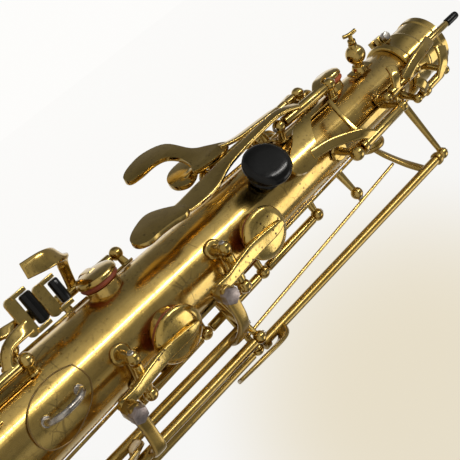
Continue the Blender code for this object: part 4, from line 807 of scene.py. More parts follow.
def g_sharp_key():
    a, b = P(-112, R(313) + 7.5, 313.0), P(-112, R(345) + 7.5, 345.0)
    adds = [hinge_tube(a, b, 2.2), cup(-82, 327.0, PAD_H + PAD_T + 0.3, 9.4), bridge(-112, R(327) + 7.5, -82, 327.0, 8.2, 5.0, 2.4),
            loft([(P(-112, 27.4, 321.0), er(-112), 4.6, 2.4), (P(-98, 36.0, 322.0), er(-80), 5.0, 2.4), (P(-82, 42.0, 320.0), er(-30), 7.0, 2.2), (P(-75, 46.0, 312.0), er(-10), 8.0, 2.2), (P(-77, 47.4, 303.0), er(-10), 7.0, 2.0)])]
    return adds, [], a, (b - a).normalized()


TY = 11.0   # back face plane of the left-hand table


def tbl(x, z, y=TY):
    return Vector((x, y, z))


YN = Vector((0.0, 1.0, 0.0))


def table_plate(x0, x1, z0, z1, y=TY, th=2.2, round_r=3.0):
    w, h = (x1 - x0) / 2, (z1 - z0) / 2
    pts = []
    for sx, sz, a0 in ((1, 1, 0), (-1, 1, 90), (-1, -1, 180), (1, -1, 270)):
        for k in range(RCORN + 1):
            a = math.radians(a0 + 90 * k / RCORN)
            pts.append((sx * (w - round_r) + round_r * math.cos(a), sz * (h - round_r) + round_r * math.sin(a)))
    return plate(Vector(((x0 + x1) / 2, y, (z0 + z1) / 2)), YN, EZ, [(q, p) for p, q in pts], th)


def low_csharp_key():
    a, b = P(-70, R(60) + 8.0, 60.0), P(-70, R(280) + 8.0, 280.0)
    adds = [hinge_tube(a, b, 2.2), *key_cup(-34, 116.0, PAD_H, 13.6), bridge(-70, R(116) + 8.0, -34, 116.0, 8.4, 6.0, 2.6)]
    p = P(-70, R(270) + 8.0, 270.0)
    adds += [loft([(p + er(-70) * 0.4, er(-70), 4.4, 2.6), (P(-79, 33.6, 278.0), er(-74), 4.6, 2.4), (Vector((32.0, 8.0, 288.0)), YN, 5.0, 2.4), (Vector((30.5, 8.0, 303.0)), YN, 5.0, 2.2)]), cone((30.5, 7.6, 301.8), (30.5, 13.0, 301.8), 1.9),
             table_plate(25.0, 39.6, 299.4, 304.6, 13.4, 2.2, 2.2)]
    for x in (26.0, 38.6):
        adds.append(box((x, 13.9, 306.6), YN, EZ, (6.6, 1.8, 3.0)))
    return adds, [], a, (b - a).normalized()


def roller(x0, x1, y, z, r):
    a, b = Vector((x0, y, z)), Vector((x1, y, z))
    d = (b - a).normalized()
    return [lathe(a, d, [(0.0, (b - a).length), (r * 0.8, (b - a).length), (r, (b - a).length - 0.7), (r, 0.7), (r * 0.8, 0.0), (0.0, 0.0)], SEG)], [], a, d


def roller_csharp():
    return roller(27.3, 37.3, 14.4, 308.2, 2.3)


def bell_lever(az, z0, z1, zt, zr, arm_z):
    """Hinge tube of a left-hand lever; each caller adds the table plate with roller ears above and the arm toward the
    bell key below.
    """
    a, b = P(az, R(z0) + 8.0, z0), P(az, R(z1) + 8.0, z1)
    adds = [hinge_tube(a, b, 2.2)]
    return a, b, adds


def low_b_lever():
    az = -50.0
    a, b, adds = bell_lever(az, 226.0, 280.0, 0, 0, 0)
    p = P(az, R(272) + 8.4, 272.0)
    adds += [loft([(p, er(az), 4.4, 2.6), (P(-60, 33.6, 278.0), er(-50), 5.0, 2.6), (Vector((30.0, 15.6, 290.0)), YN, 6.0, 2.6)]),
             table_plate(25.0, 43.0, 287.4, 292.4, 14.6, 2.2, 2.2)]
    for x in (26.0, 42.0):
        adds.append(box((x, 15.2, 294.4), YN, EZ, (6.8, 1.8, 3.0)))
    adds.append(loft([(P(az, R(232) + 8.4, 232.0), er(az), 5.0, 2.6), (P(-66, 40.5, 228.0), er(-66), 5.0, 2.6), (P(-88, 46.0, 218.0), er(-80), 5.0, 2.6), (Vector((52.0, -28.0, 206.0)), Vector((1, 0, 0)), 5.0, 2.6), (Vector((53.6, -52.0, 186.0)), Vector((1, 0, 0)), 5.0, 2.6)]))
    return adds, [], a, (b - a).normalized()


def roller_b():
    return roller(27.3, 40.7, 15.6, 296.0, 2.7)


def low_bb_lever():
    az = -34.0
    a, b, adds = bell_lever(az, 196.0, 256.0, 0, 0, 0)
    p = P(az, R(249) + 8.4, 249.0)
    adds += [loft([(p, er(az), 4.4, 2.6), (P(-43, 33.8, 254.0), er(-40), 5.0, 2.6), (P(-52, 35.0, 261.0), er(-46), 5.0, 2.6), (Vector((37.0, 17.4, 268.0)), YN, 6.0, 2.6)]),
             plate(Vector((41.0, 16.6, 272.0)), YN, EZ, [(6.6 * math.cos(2 * math.pi * k / DSEG), 8.4 * math.sin(2 * math.pi * k / DSEG)) for k in range(DSEG)], 2.4)]
    adds.append(loft([(P(az, R(202) + 8.4, 202.0), er(az), 5.0, 2.6), (P(-56, 42.5, 200.0), er(-56), 5.0, 2.6), (P(-80, 47.0, 192.0), er(-76), 5.0, 2.6), (Vector((52.6, -26.0, 176.0)), Vector((1, 0, 0)), 5.0, 2.6), (Vector((53.6, -50.0, 160.0)), Vector((1, 0, 0)), 5.0, 2.6)]))
    return adds, [], a, (b - a).normalized()


def bell_key(z, rc, z0, z1):
    y = -BELL_Y + 31.0
    a, b = Vector((46.5, y, z0)), Vector((46.5, y, z1))
    c = Vector((43.0 + 0.3 + STACK_OPEN, -BELL_Y, z))
    X = Vector((1.0, 0.0, 0.0))
    adds = [hinge_tube(a, b, 2.3), cone(c, c + X * 2.6, rc * 0.9, rc * 0.9, CSEG), lathe(c + X * 2.2, X, [(0.0, 3.6), (rc * 0.4, 3.5), (rc * 0.75, 3.0), (rc * 0.93, 2.2), (rc, 1.2), (rc, 0.0), (0.0, 0.0)], CSEG)]
    adds.append(loft([(Vector((47.2, y, z)), X, 7.0, 3.0), (Vector((51.6, y - 10, z)), X, 6.0, 2.6), (c + X * 6.2, X, 5.0, 2.4)]))
    return adds, [], a, EZ


def low_b_key():
    return bell_key(168.0, 16.8, 140.0, 194.0)


def low_bb_key():
    return bell_key(112.0, 15.6, 86.0, 140.0)


def octave_thumb_lever():
    a, b = P(21, 27.0, 452.0), P(21, 25.6, 490.0)
    d = (b - a).normalized()
    z0, z1 = 412.0, 458.0
    shell = lathe((0, 0, 0), EZ, [(R(z1) + 5.0, z1), (R(z1) + 6.6, z1), (R(z0) + 6.6, z0), (R(z0) + 5.0, z0)], TSEG * 2)
    az0 = -22.0
    out = [(z - 435.0, -(R(z) + 5.8) * math.sin(math.radians(q - az0))) for q, z in ((-50.0, 451.0), (-34.0, 445.0), (-16.5, 440.0), (-3.4, 437.0), (3.4, 431.0), (-0.6, 423.5), (-10.8, 420.5), (-22.0, 423.6), (-35.0, 432.0), (-49.0, 439.5))]
    prism = plate(P(az0, 20.0, 435.0), er(az0), EZ, outline(out), 22.0)
    adds = [("intersect", shell, prism), cone(a + d * 3.8, b - d * 3.0, 2.5, 2.4), cone(a + d * 3.8, a + d * 7.0, 3.3, 3.0)]
    adds.append(loft(arm_rows([(20, 27.2, 466.0), (8, 27.0, 458.0), (-3, 23.6, 446.0), (-9, R(434) + 6.0, 434.0)], 5.0, 5.0, 2.0)))
    adds.append(loft(arm_rows([(18, 27.0, 461.0), (3, 23.8, 459.8), (-22, 21.8, 460.6), (-44, 21.4, 463.6)], 2.6, 2.0, 1.8)))
    return adds, [], a, d


def octave_rocker():
    a, b = P(5, 20.9, 488.0), P(5, 20.2, 513.0)
    d = (b - a).normalized()
    adds = [cone(a + d * 2.7, b - d * 2.7, 2.2, 2.2)]
    pin = P(-11.5, 18.6, 530.0)
    adds.append(loft([(P(4, 21.6, 502.0), er(0), 5.0, 2.4), (P(-5, 23.2, 511.0), er(-3), 5.0, 2.4), (P(-9, 21.6, 523.0), er(-9), 5.4, 2.6), (P(-11, 19.0, 531.0), er(-11), 5.4, 3.0)]))
    adds.append(cone(P(-11.5, 18.6, 528.0), P(-11.5, 18.6, 547.0), 1.9, 1.7))
    adds.append(loft([(P(5, 21.6, 495.0), er(5), 5.0, 2.4), (P(-8, 23.4, 497.0), er(-8), 5.0, 2.2), (P(-20, 22.4, 500.0), er(-20), 6.0, 2.2)]))
    return adds, [], a, d


def octave_sleeve():
    c = P(-11.5, 18.6, 547.3)
    return [lathe(c, EZ, [(0.0, 9.4), (1.0, 9.2), (1.8, 8.4), (2.0, 7.2), (2.0, 0.0), (0.0, 0.0)], SEG)], []


def octave_link_post():
    return post(30, 25.0, 502.0, 2.6, 2.3) + [rib(30, 498.0, 506.0, 4.0)], []


def octave_link():
    """Link plate beside the receiver."""
    a, b = P(30, 25.0, 502.0), P(30, 24.0, 527.0)
    d = (b - a).normalized()
    adds = [cone(a + d * 2.6, b - d * 3.6, 2.1, 2.1), cone(a + d * 6.0, a + d * 8.5, 2.9, 2.9)]
    adds.append(loft([(P(30, 25.2, 520.0), er(26), 4.0, 2.2), (P(16, 25.6, 526.0), er(14), 6.0, 2.2), (P(2, 23.8, 530.0), er(2), 7.0, 2.2)]))
    adds.append(loft([(P(30, 25.6, 508.0), er(26), 4.0, 2.2), (P(18, 27.4, 506.0), er(18), 5.0, 2.2), (P(9, 27.0, 503.0), er(9), 4.4, 2.0)]))
    return adds, [], a, d


# ---- materials ----
class Net:
    def __init__(self, name):
        self.mat = bpy.data.materials.new(name)
        self.mat.use_nodes = True
        self.t = self.mat.node_tree
        self.t.nodes.clear()
        self.out = self.t.nodes.new("ShaderNodeOutputMaterial")
        self.b = self.t.nodes.new("ShaderNodeBsdfPrincipled")
        self.t.links.new(self.b.outputs[0], self.out.inputs[0])
        self.co = self.t.nodes.new("ShaderNodeTexCoord").outputs["Object"]

    def link(self, a, b):
        self.t.links.new(a, b)

    def scaled(self, s):
        m = self.t.nodes.new("ShaderNodeMapping")
        m.inputs["Scale"].default_value = s
        self.link(self.co, m.inputs["Vector"])
        return m.outputs[0]

    def noise(self, s, detail=4.0, rough=0.55, distort=0.0):
        n = self.t.nodes.new("ShaderNodeTexNoise")
        self.link(self.scaled(s if isinstance(s, tuple) else (s, s, s)), n.inputs["Vector"])
        n.inputs["Scale"].default_value = 1.0
        n.inputs["Detail"].default_value = detail
        n.inputs["Roughness"].default_value = rough
        n.inputs["Distortion"].default_value = distort
        return n.outputs["Fac"]

    def cells(self, s):
        n = self.t.nodes.new("ShaderNodeTexVoronoi")
        self.link(self.scaled((s, s, s)), n.inputs["Vector"])
        n.inputs["Scale"].default_value = 1.0
        return n.outputs["Distance"]

    def edges(self, s):
        n = self.t.nodes.new("ShaderNodeTexVoronoi")
        n.feature = "DISTANCE_TO_EDGE"
        self.link(self.scaled((s, s, s)), n.inputs["Vector"])
        n.inputs["Scale"].default_value = 1.0
        return n.outputs["Distance"]

    def remap(self, v, a, b, c=0.0, d=1.0):
        n = self.t.nodes.new("ShaderNodeMapRange")
        n.clamp = True
        self.link(v, n.inputs["Value"])
        for k, x in zip(("From Min", "From Max", "To Min", "To Max"), (a, b, c, d)):
            n.inputs[k].default_value = x
        return n.outputs["Result"]

    def math(self, op, a, b):
        n = self.t.nodes.new("ShaderNodeMath")
        n.operation = op
        for i, v in enumerate((a, b)):
            if isinstance(v, (int, float)):
                n.inputs[i].default_value = v
            else:
                self.link(v, n.inputs[i])
        return n.outputs[0]

    def mix(self, f, a, b):
        n = self.t.nodes.new("ShaderNodeMix")
        n.data_type = "RGBA"
        self.link(f, n.inputs["Factor"])
        for k, v in ((6, a), (7, b)):
            if isinstance(v, tuple):
                n.inputs[k].default_value = (*v, 1.0)
            else:
                self.link(v, n.inputs[k])
        return n.outputs[2]

    def bump(self, h, strength, dist, prev=None):
        n = self.t.nodes.new("ShaderNodeBump")
        n.inputs["Strength"].default_value = strength
        n.inputs["Distance"].default_value = dist
        self.link(h, n.inputs["Height"])
        if prev is not None:
            self.link(prev, n.inputs["Normal"])
        return n.outputs[0]


def brass(name, light, mid, dark, rough=0.2, spots=0.5, pits=0.5, grain=(60.0, 60.0, 900.0), hair=0.0, mask=0.50):
    n = Net(name)
    patch = n.remap(n.noise(55.0, 5.0, 0.6, 0.4), 0.35, 0.68)
    col = n.mix(patch, mid, light)
    fine = n.remap(n.noise(620.0, 4.0, 0.65), 0.58, 0.74, 0.0, spots)
    col = n.mix(fine, col, dark)
    freck = n.math("MULTIPLY", n.remap(n.cells(430.0), 0.30, 0.16), n.remap(n.noise(150.0, 2.0), mask, mask + 0.10, 0.0, spots))
    col = n.mix(freck, col, dark)
    if hair:
        lines = n.math("MULTIPLY", n.remap(n.edges(170.0), 0.05, 0.0), n.remap(n.noise(34.0, 4.0, 0.6), 0.52, 0.60, 0.0, hair))
        col = n.mix(lines, col, dark)
    n.link(col, n.b.inputs["Base Color"])
    n.b.inputs["Metallic"].default_value = 1.0
    scr = n.noise(grain, 3.0, 0.6)
    r = n.math("ADD", n.remap(n.noise(140.0, 4.0, 0.6), 0.35, 0.8, rough, rough + 0.09), n.math("MULTIPLY", freck, 0.25))
    n.link(n.math("ADD", r, n.remap(scr, 0.5, 0.75, 0.0, 0.05)), n.b.inputs["Roughness"])
    bp = n.bump(n.cells(900.0), 0.05 * pits, 0.0001)
    bp = n.bump(scr, 0.03, 0.00006, bp)
    bp = n.bump(n.noise(40.0, 2.0), 0.05, 0.0008, bp)
    n.link(bp, n.b.inputs["Normal"])
    n.b.inputs["Coat Weight"].default_value = 0.35
    n.b.inputs["Coat Roughness"].default_value = 0.05
    return n.mat


def plastic(name, col, rough=0.12, coat=0.0, level=0.3):
    n = Net(name)
    sm = n.remap(n.noise(220.0, 5.0, 0.6), 0.4, 0.75)
    n.link(n.mix(sm, col, tuple(min(1.0, c + 0.004) for c in col)), n.b.inputs["Base Color"])
    n.link(n.remap(n.noise((900.0, 900.0, 200.0), 4.0), 0.35, 0.75, rough, rough + 0.16), n.b.inputs["Roughness"])
    n.b.inputs["Coat Weight"].default_value = coat
    n.b.inputs["Specular IOR Level"].default_value = level
    n.link(n.bump(n.noise(700.0, 3.0), 0.03, 0.0002), n.b.inputs["Normal"])
    return n.mat


def leather(name, a, b):
    n = Net(name)
    n.link(n.mix(n.remap(n.noise(260.0, 5.0, 0.6), 0.35, 0.7), a, b), n.b.inputs["Base Color"])
    n.b.inputs["Roughness"].default_value = 0.55
    bp = n.bump(n.cells(2600.0), 0.35, 0.0003)
    n.link(n.bump(n.noise(500.0, 3.0), 0.2, 0.0004, bp), n.b.inputs["Normal"])
    return n.mat


def grey_metal(name, a, b, rough):
    n = Net(name)
    n.link(n.mix(n.remap(n.noise(330.0, 5.0, 0.65), 0.35, 0.7), a, b), n.b.inputs["Base Color"])
    n.b.inputs["Metallic"].default_value = 1.0
    n.link(n.remap(n.noise(500.0, 4.0), 0.3, 0.75, rough, rough + 0.25), n.b.inputs["Roughness"])
    bp = n.bump(n.noise((1500.0, 1500.0, 120.0), 3.0), 0.12, 0.0003)
    n.link(n.bump(n.cells(1300.0), 0.15, 0.0002, bp), n.b.inputs["Normal"])
    return n.mat


M_TUBE = brass("lacquered_tube", (0.72, 0.505, 0.15), (0.56, 0.37, 0.095), (0.14, 0.08, 0.02), 0.17, 0.6, 0.3, (700.0, 700.0, 50.0), 0.6)
M_KEY = brass("lacquered_key", (0.63, 0.445, 0.135), (0.46, 0.31, 0.078), (0.09, 0.05, 0.016), 0.12, 0.6, 0.5)
M_CUP = brass("worn_cup", (0.76, 0.55, 0.17), (0.56, 0.38, 0.09), (0.07, 0.04, 0.012), 0.15, 1.0, 2.2, (60.0, 60.0, 900.0), 0.0, 0.40)
M_ROD = brass("rod", (0.50, 0.34, 0.095), (0.38, 0.25, 0.058), (0.07, 0.045, 0.016), 0.27, 0.5, 0.3, (500.0, 500.0, 30.0))
M_BLACK = plastic("black_plastic_look", (0.0035, 0.0035, 0.003))
M_PAD = leather("pad_leather_look", (0.34, 0.065, 0.014), (0.20, 0.036, 0.009))
M_NICKEL = grey_metal("worn_nickel_look", (0.62, 0.58, 0.52), (0.22, 0.19, 0.16), 0.16)
M_STEEL = grey_metal("steel_screw_look", (0.55, 0.53, 0.50), (0.38, 0.34, 0.28), 0.22)
M_BUMPER = grey_metal("bumper_look", (0.47, 0.40, 0.37), (0.26, 0.21, 0.195), 0.30)
M_PEARL = plastic("pearl_look", (0.72, 0.70, 0.66), 0.1, 0.4, 0.5)
M_PAD_NEW = leather("pad_leather_orange", (0.62, 0.13, 0.02), (0.40, 0.075, 0.015))
M_CUT = brass("solder_line", (0.30, 0.19, 0.065), (0.18, 0.11, 0.035), (0.05, 0.03, 0.012), 0.32, 0.7, 0.8)
M_SLOT = {"brass_lacquer": M_TUBE, "brass_key": M_KEY, "black_plastic": M_BLACK, "pad_leather": M_PAD, "worn_nickel": M_NICKEL, "steel_screw": M_STEEL}


# ---- pieces ----
def temp_object(me):
    ob = bpy.data.objects.new("tmp", me)
    bpy.context.scene.collection.objects.link(ob)
    return ob


def soften(me, width=0.28):
    """Round the hard edges of one primitive."""
    bm = bmesh.new()
    bm.from_mesh(me)
    bmesh.ops.remove_doubles(bm, verts=bm.verts, dist=0.001)
    hard = [e for e in bm.edges if len(e.link_faces) == 2 and e.calc_face_angle(0.0) > math.radians(38)]
    if hard:
        small = min(f.calc_perimeter() for f in bm.faces if len(f.verts) > 4) if any(len(f.verts) > 4 for f in bm.faces) else 40.0
        w = min(width, small / 30.0)
        bmesh.ops.bevel(bm, geom=hard, offset=w, segments=2, profile=0.5, affect="EDGES", clamp_overlap=True)
        bmesh.ops.remove_doubles(bm, verts=bm.verts, dist=0.0008)
        bmesh.ops.recalc_face_normals(bm, faces=bm.faces)
    bm.to_mesh(me)
    bm.free()
    return me


def fold(base, me, op, solver="MANIFOLD"):
    """Boolean one mesh into the base object; falls back to the exact solver."""
    other = temp_object(me)
    for s in (solver, "EXACT"):
        mod = base.modifiers.new("b", "BOOLEAN")
        mod.operation = op
        mod.solver = s
        mod.object = other
        dg = bpy.context.evaluated_depsgraph_get()
        out = bpy.data.meshes.new_from_object(base.evaluated_get(dg))
        base.modifiers.clear()
        if len(out.polygons) and (op != "UNION" or len(out.vertices) != len(base.data.vertices)):
            break
        bpy.data.meshes.remove(out)
        out = None
    if out is not None:
        old = base.data
        base.data = out
        bpy.data.meshes.remove(old)
    bpy.data.objects.remove(other)
    bpy.data.meshes.remove(me)


def solid(name, adds, cuts, mat, soft=True):
    parts = []
    for a in adds:
        if isinstance(a, tuple):
            b = temp_object(a[1])
            fold(b, a[2], "INTERSECT", "EXACT")
            me = b.data
            bpy.data.objects.remove(b)
            parts.append(me)
        else:
            parts.append(soften(a) if soft else a)
    base = temp_object(parts[0])
    for me in parts[1:]:
        fold(base, me, "UNION")
    for me in cuts:
        fold(base, me, "DIFFERENCE")
    me = base.data
    bm = bmesh.new()
    bm.from_mesh(me)
    bmesh.ops.remove_doubles(bm, verts=bm.verts, dist=0.0006)
    bmesh.ops.dissolve_degenerate(bm, edges=bm.edges, dist=0.0004)
    for v in bm.verts:
        v.co = (v.co - ORIGIN) * 0.001
    bm.to_mesh(me)
    bm.free()
    me.polygons.foreach_set("use_smooth", [True] * len(me.polygons))
    me.set_sharp_from_angle(angle=math.radians(34))
    base.name = name
    me.name = name
    me.materials.clear()
    me.materials.append(mat)
    return base


REC = PACKED["record"]
BODY = {n: b for b, ns in REC["behaviour"]["bodies"].items() for n in ns}
SLOT = {p["node"]: p["material_slot"] for p in REC["subparts"]}


def piece(node, name, adds, cuts=(), mat=None, slot=None, soft=True):
    """A visible piece that stands for one CAD node."""
    s = slot or SLOT[node]
    ob = solid(name, adds, cuts, mat or M_SLOT[s], soft)
    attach(ob, BODY[node])
    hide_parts(node)
    return ob


def round_pad(az, z, r, th=PAD_T):
    """Leather pad with rolled edge and a sunk centre rivet."""
    return [lathe(Q(az, PAD_H, z), er(az), [(0.0, th), (r * 0.96, th), (r, th - 0.5), (r + 0.25, th * 0.5), (r - 0.1, 0.45), (r * 0.9, 0.08), (r * 0.72, 0.0), (r * 0.3, 0.1), (0.0, 0.14)], CSEG)]


STATIC = [
    ("body_tube", body_tube, M_TUBE), ("neck_receiver", neck_receiver, M_KEY), ("neck_clamp_screw", neck_screw, M_STEEL),
    ("bow", bow, M_TUBE), ("bow_ring_body", lambda: bow_ring(0.0, R(FOOT_Z)), M_KEY), ("bow_ring_bell", lambda: bow_ring(-BELL_Y, BELL_R0), M_KEY),
    ("bell", bell, M_TUBE), ("bell_brace", bell_brace, M_KEY), ("lyre_holder", lyre_holder, M_KEY), ("lyre_thumb_screw", lyre_screw, M_KEY),
    ("thumb_rest", thumb_rest, M_BLACK), ("thumb_hook", thumb_hook, M_KEY),
    ("palm_key_posts", palm_posts, M_KEY), ("side_C_posts", side_c_posts, M_KEY), ("side_Bb_posts", side_bb_posts, M_KEY),
    ("side_rod_posts", side_rod_posts, M_KEY), ("side_rod_stay", rod_e_lower, M_ROD),
    ("upper_stack_posts", upper_stack_posts, M_KEY), ("lower_stack_posts", lower_stack_posts, M_KEY),
    ("octave_posts", octave_posts, M_KEY), ("octave_link_post", octave_link_post, M_KEY),
    ("table_key_posts", table_posts, M_KEY), ("bell_key_posts", bell_key_posts, M_KEY), ("low_key_posts", low_key_posts, M_KEY),
]
MOVING = [
    ("palm_F_key", palm_f, M_KEY), ("palm_D_key", palm_d, M_KEY), ("palm_Eb_key", palm_eb, M_KEY),
    ("side_C_cup", side_c_cup, M_CUP), ("side_Bb_cup", side_bb_cup, M_CUP), ("side_C_lever", side_c_lever, M_ROD), ("side_Bb_lever", side_bb_lever, M_ROD), ("side_E_key", side_e_key, M_ROD),
    ("upper_B_key", key_b, M_KEY), ("upper_A_key", key_a, M_KEY), ("upper_G_key", key_g, M_KEY), ("lower_F_key", key_f, M_KEY), ("lower_E_key", key_e, M_KEY), ("lower_D_key", key_d, M_KEY),
    ("low_Eb_key", low_eb_key, M_KEY), ("low_C_key", low_c_key, M_KEY), ("G_sharp_key", g_sharp_key, M_KEY), ("low_C_sharp_key", low_csharp_key, M_KEY),
    ("low_B_lever", low_b_lever, M_KEY), ("low_Bb_lever", low_bb_lever, M_KEY), ("low_B_bell_key", low_b_key, M_KEY), ("low_Bb_bell_key", low_bb_key, M_KEY),
    ("octave_thumb_lever", octave_thumb_lever, M_KEY), ("octave_rocker", octave_rocker, M_KEY), ("octave_link_key", octave_link, M_KEY),
]
# primitives of a node that have a finish of their own: node -> {index: (suffix, material, slot)}
OWN = {
    "side_C_lever": {3: ("bumper", M_BUMPER, "worn_nickel")}, "side_Bb_lever": {3: ("bumper", M_BUMPER, "worn_nickel")},
    "low_Bb_lever": {2: ("touch", M_NICKEL, "worn_nickel")},
}
EXTRA = {}

for name, fn, mat in STATIC + MOVING:
    out = fn()
    adds, cuts = out[0], out[1]
    own = OWN.get(name, {})
    rest = [a for i, a in enumerate(adds) if i not in own]
    if name in EXTRA:
        rest += EXTRA[name]()
    piece(name, name + "_look", rest, cuts, mat)
    for i, (suffix, m2, s2) in own.items():
        piece(name, f"{name}_{suffix}", [adds[i]], (), m2, s2)

adds, _ = strap_ring()
piece("strap_ring", "strap_plate_look", adds[:1], (), M_TUBE, "brass_lacquer")
piece("strap_ring", "strap_ring_look", adds[1:], (), M_NICKEL)

for node, args in (("side_C_pad", (SIDE_C["cup_az"], SIDE_C["cup_z"], SIDE_C["cup_r"] - 1.2)), ("side_Bb_pad", (SIDE_BB["cup_az"], SIDE_BB["cup_z"], SIDE_BB["cup_r"] - 1.2)), ("palm_F_pad", (-84, 480.0, 6.6)), ("G_sharp_pad", (-82, 327.0, 8.6))):
    ob = piece(node, node + "_look", round_pad(*args), (), M_PAD, None, False)
    if node == "palm_F_pad":
        ob.data.materials[0] = M_PAD_NEW
for node, fn in (("C_sharp_roller", roller_csharp), ("B_roller", roller_b)):
    piece(node, node + "_look", fn()[0], (), M_BLACK)
piece("octave_pin_sleeve", "octave_pin_sleeve_look", octave_sleeve()[0], (), M_BLACK)


# ---- small fittings ----
def screw_head(p, d, r=1.35):
    """Slotted pivot screw let into a post ball."""
    d = Vector(d).normalized()
    x = EZ if abs(d.z) < 0.9 else er(40.0)
    s = lathe(p + d * (BALL_R - 0.75), d, [(0.0, 1.0), (r * 0.8, 0.95), (r, 0.7), (r, 0.0), (0.0, 0.0)], 20)
    return s, box(p + d * (BALL_R + 0.25), d, x, (r * 2.6, 0.38, 0.7))


def fitting(name, owner, adds, cuts, mat, soft=False):
    ob = solid(name, adds, cuts, mat, soft)
    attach(ob, BODY[owner])
    return ob


heads, slots = [], []
for p, d in ((P(-62, 23.6, 436.0), -EZ), (P(-60, 22.6, 472.0), EZ), (P(-95, 24.4, 434.0), -EZ), (P(-95, 24.0, 464.0), EZ), (P(-112, 24.8, 402.0), -EZ), (P(-112, 24.8, 432.0), EZ),
             (P(ROD_E[0], ROD_E[1], 508.0), EZ), (P(ROD_E[0], ROD_E[1], 230.0), -EZ), (P(ROD_A[0], ROD_A[1], 362.0), EZ), (P(ROD_A[0], ROD_A[1], 230.0), -EZ), (P(ROD_B[0], ROD_B[1], 362.0), EZ), (P(ROD_B[0], ROD_B[1], 230.0), -EZ),
             (P(92, R(432) + 8.5, 432.0), EZ), (P(92, R(306) + 8.5, 306.0), -EZ), (P(96, R(256) + 8.5, 256.0), EZ), (P(96, R(106) + 8.5, 106.0), -EZ),
             (P(52, R(94) + 8.5, 94.0), EZ), (P(52, R(54) + 8.5, 54.0), -EZ), (P(24, R(150) + 8.5, 150.0), EZ), (P(24, R(44) + 8.5, 44.0), -EZ),
             (P(-70, R(280) + 8.0, 280.0), EZ), (P(-70, R(60) + 8.0, 60.0), -EZ), (P(-50, R(226) + 8.0, 226.0), -EZ), (P(-34, R(256) + 8.0, 256.0), EZ), (P(-34, R(196) + 8.0, 196.0), -EZ),
             (Vector((46.5, -67.0, 194.0)), EZ), (Vector((46.5, -67.0, 86.0)), -EZ), (P(77, 29.4, 452.0), er(77))):
    h, c = screw_head(p, d)
    heads.append(h)
    slots.append(c)
for s in (SIDE_C, SIDE_BB):
    for k in (-1, 1):
        h, c = screw_head(P(s["az"] + k * s["half"], s["r"], s["z"]), et(s["az"]) * k)
        heads.append(h)
        slots.append(c)
fitting("pivot_screws", "body_tube", heads, slots, M_STEEL)

rim = [(z, R(z) * math.sin(math.radians(a - 3.0))) for z, a in SHIELD]
rim = [tuple(v) for v in smooth_path([list(o) for o in rim + rim[:1]], PSTEP)[:-1]]
rim = [P(3.0 + math.degrees(math.asin(x / (R(z) + 1.3))), R(z) + 1.25, z) for z, x in rim]
fitting("strap_plate_rim", "strap_ring", [wire(rim, 0.34, None, True)], (), M_CUT)

for name, z, tz in (("upper_B_key", 408.0, 426.0), ("upper_A_key", 372.0, 390.0), ("upper_G_key", 330.0, 351.0), ("lower_F_key", 232.0, 210.0), ("lower_E_key", 184.0, 160.0), ("lower_D_key", 132.0, 108.0)):
    rb = R(z) + PAD_H + STACK_OPEN + PAD_T + 2.9
    ta = 150 if name.startswith("upper") else 152
    ob = solid(name + "_pearl", [lathe(P(ta, rb + 4.9, tz), er(ta), [(0.0, 1.15), (2.4, 1.25), (4.2, 1.55), (4.9, 1.35), (5.0, 0.6), (5.0, 0.0), (0.0, 0.0)], CSEG)], (), M_PEARL, False)
    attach(ob, BODY[name])


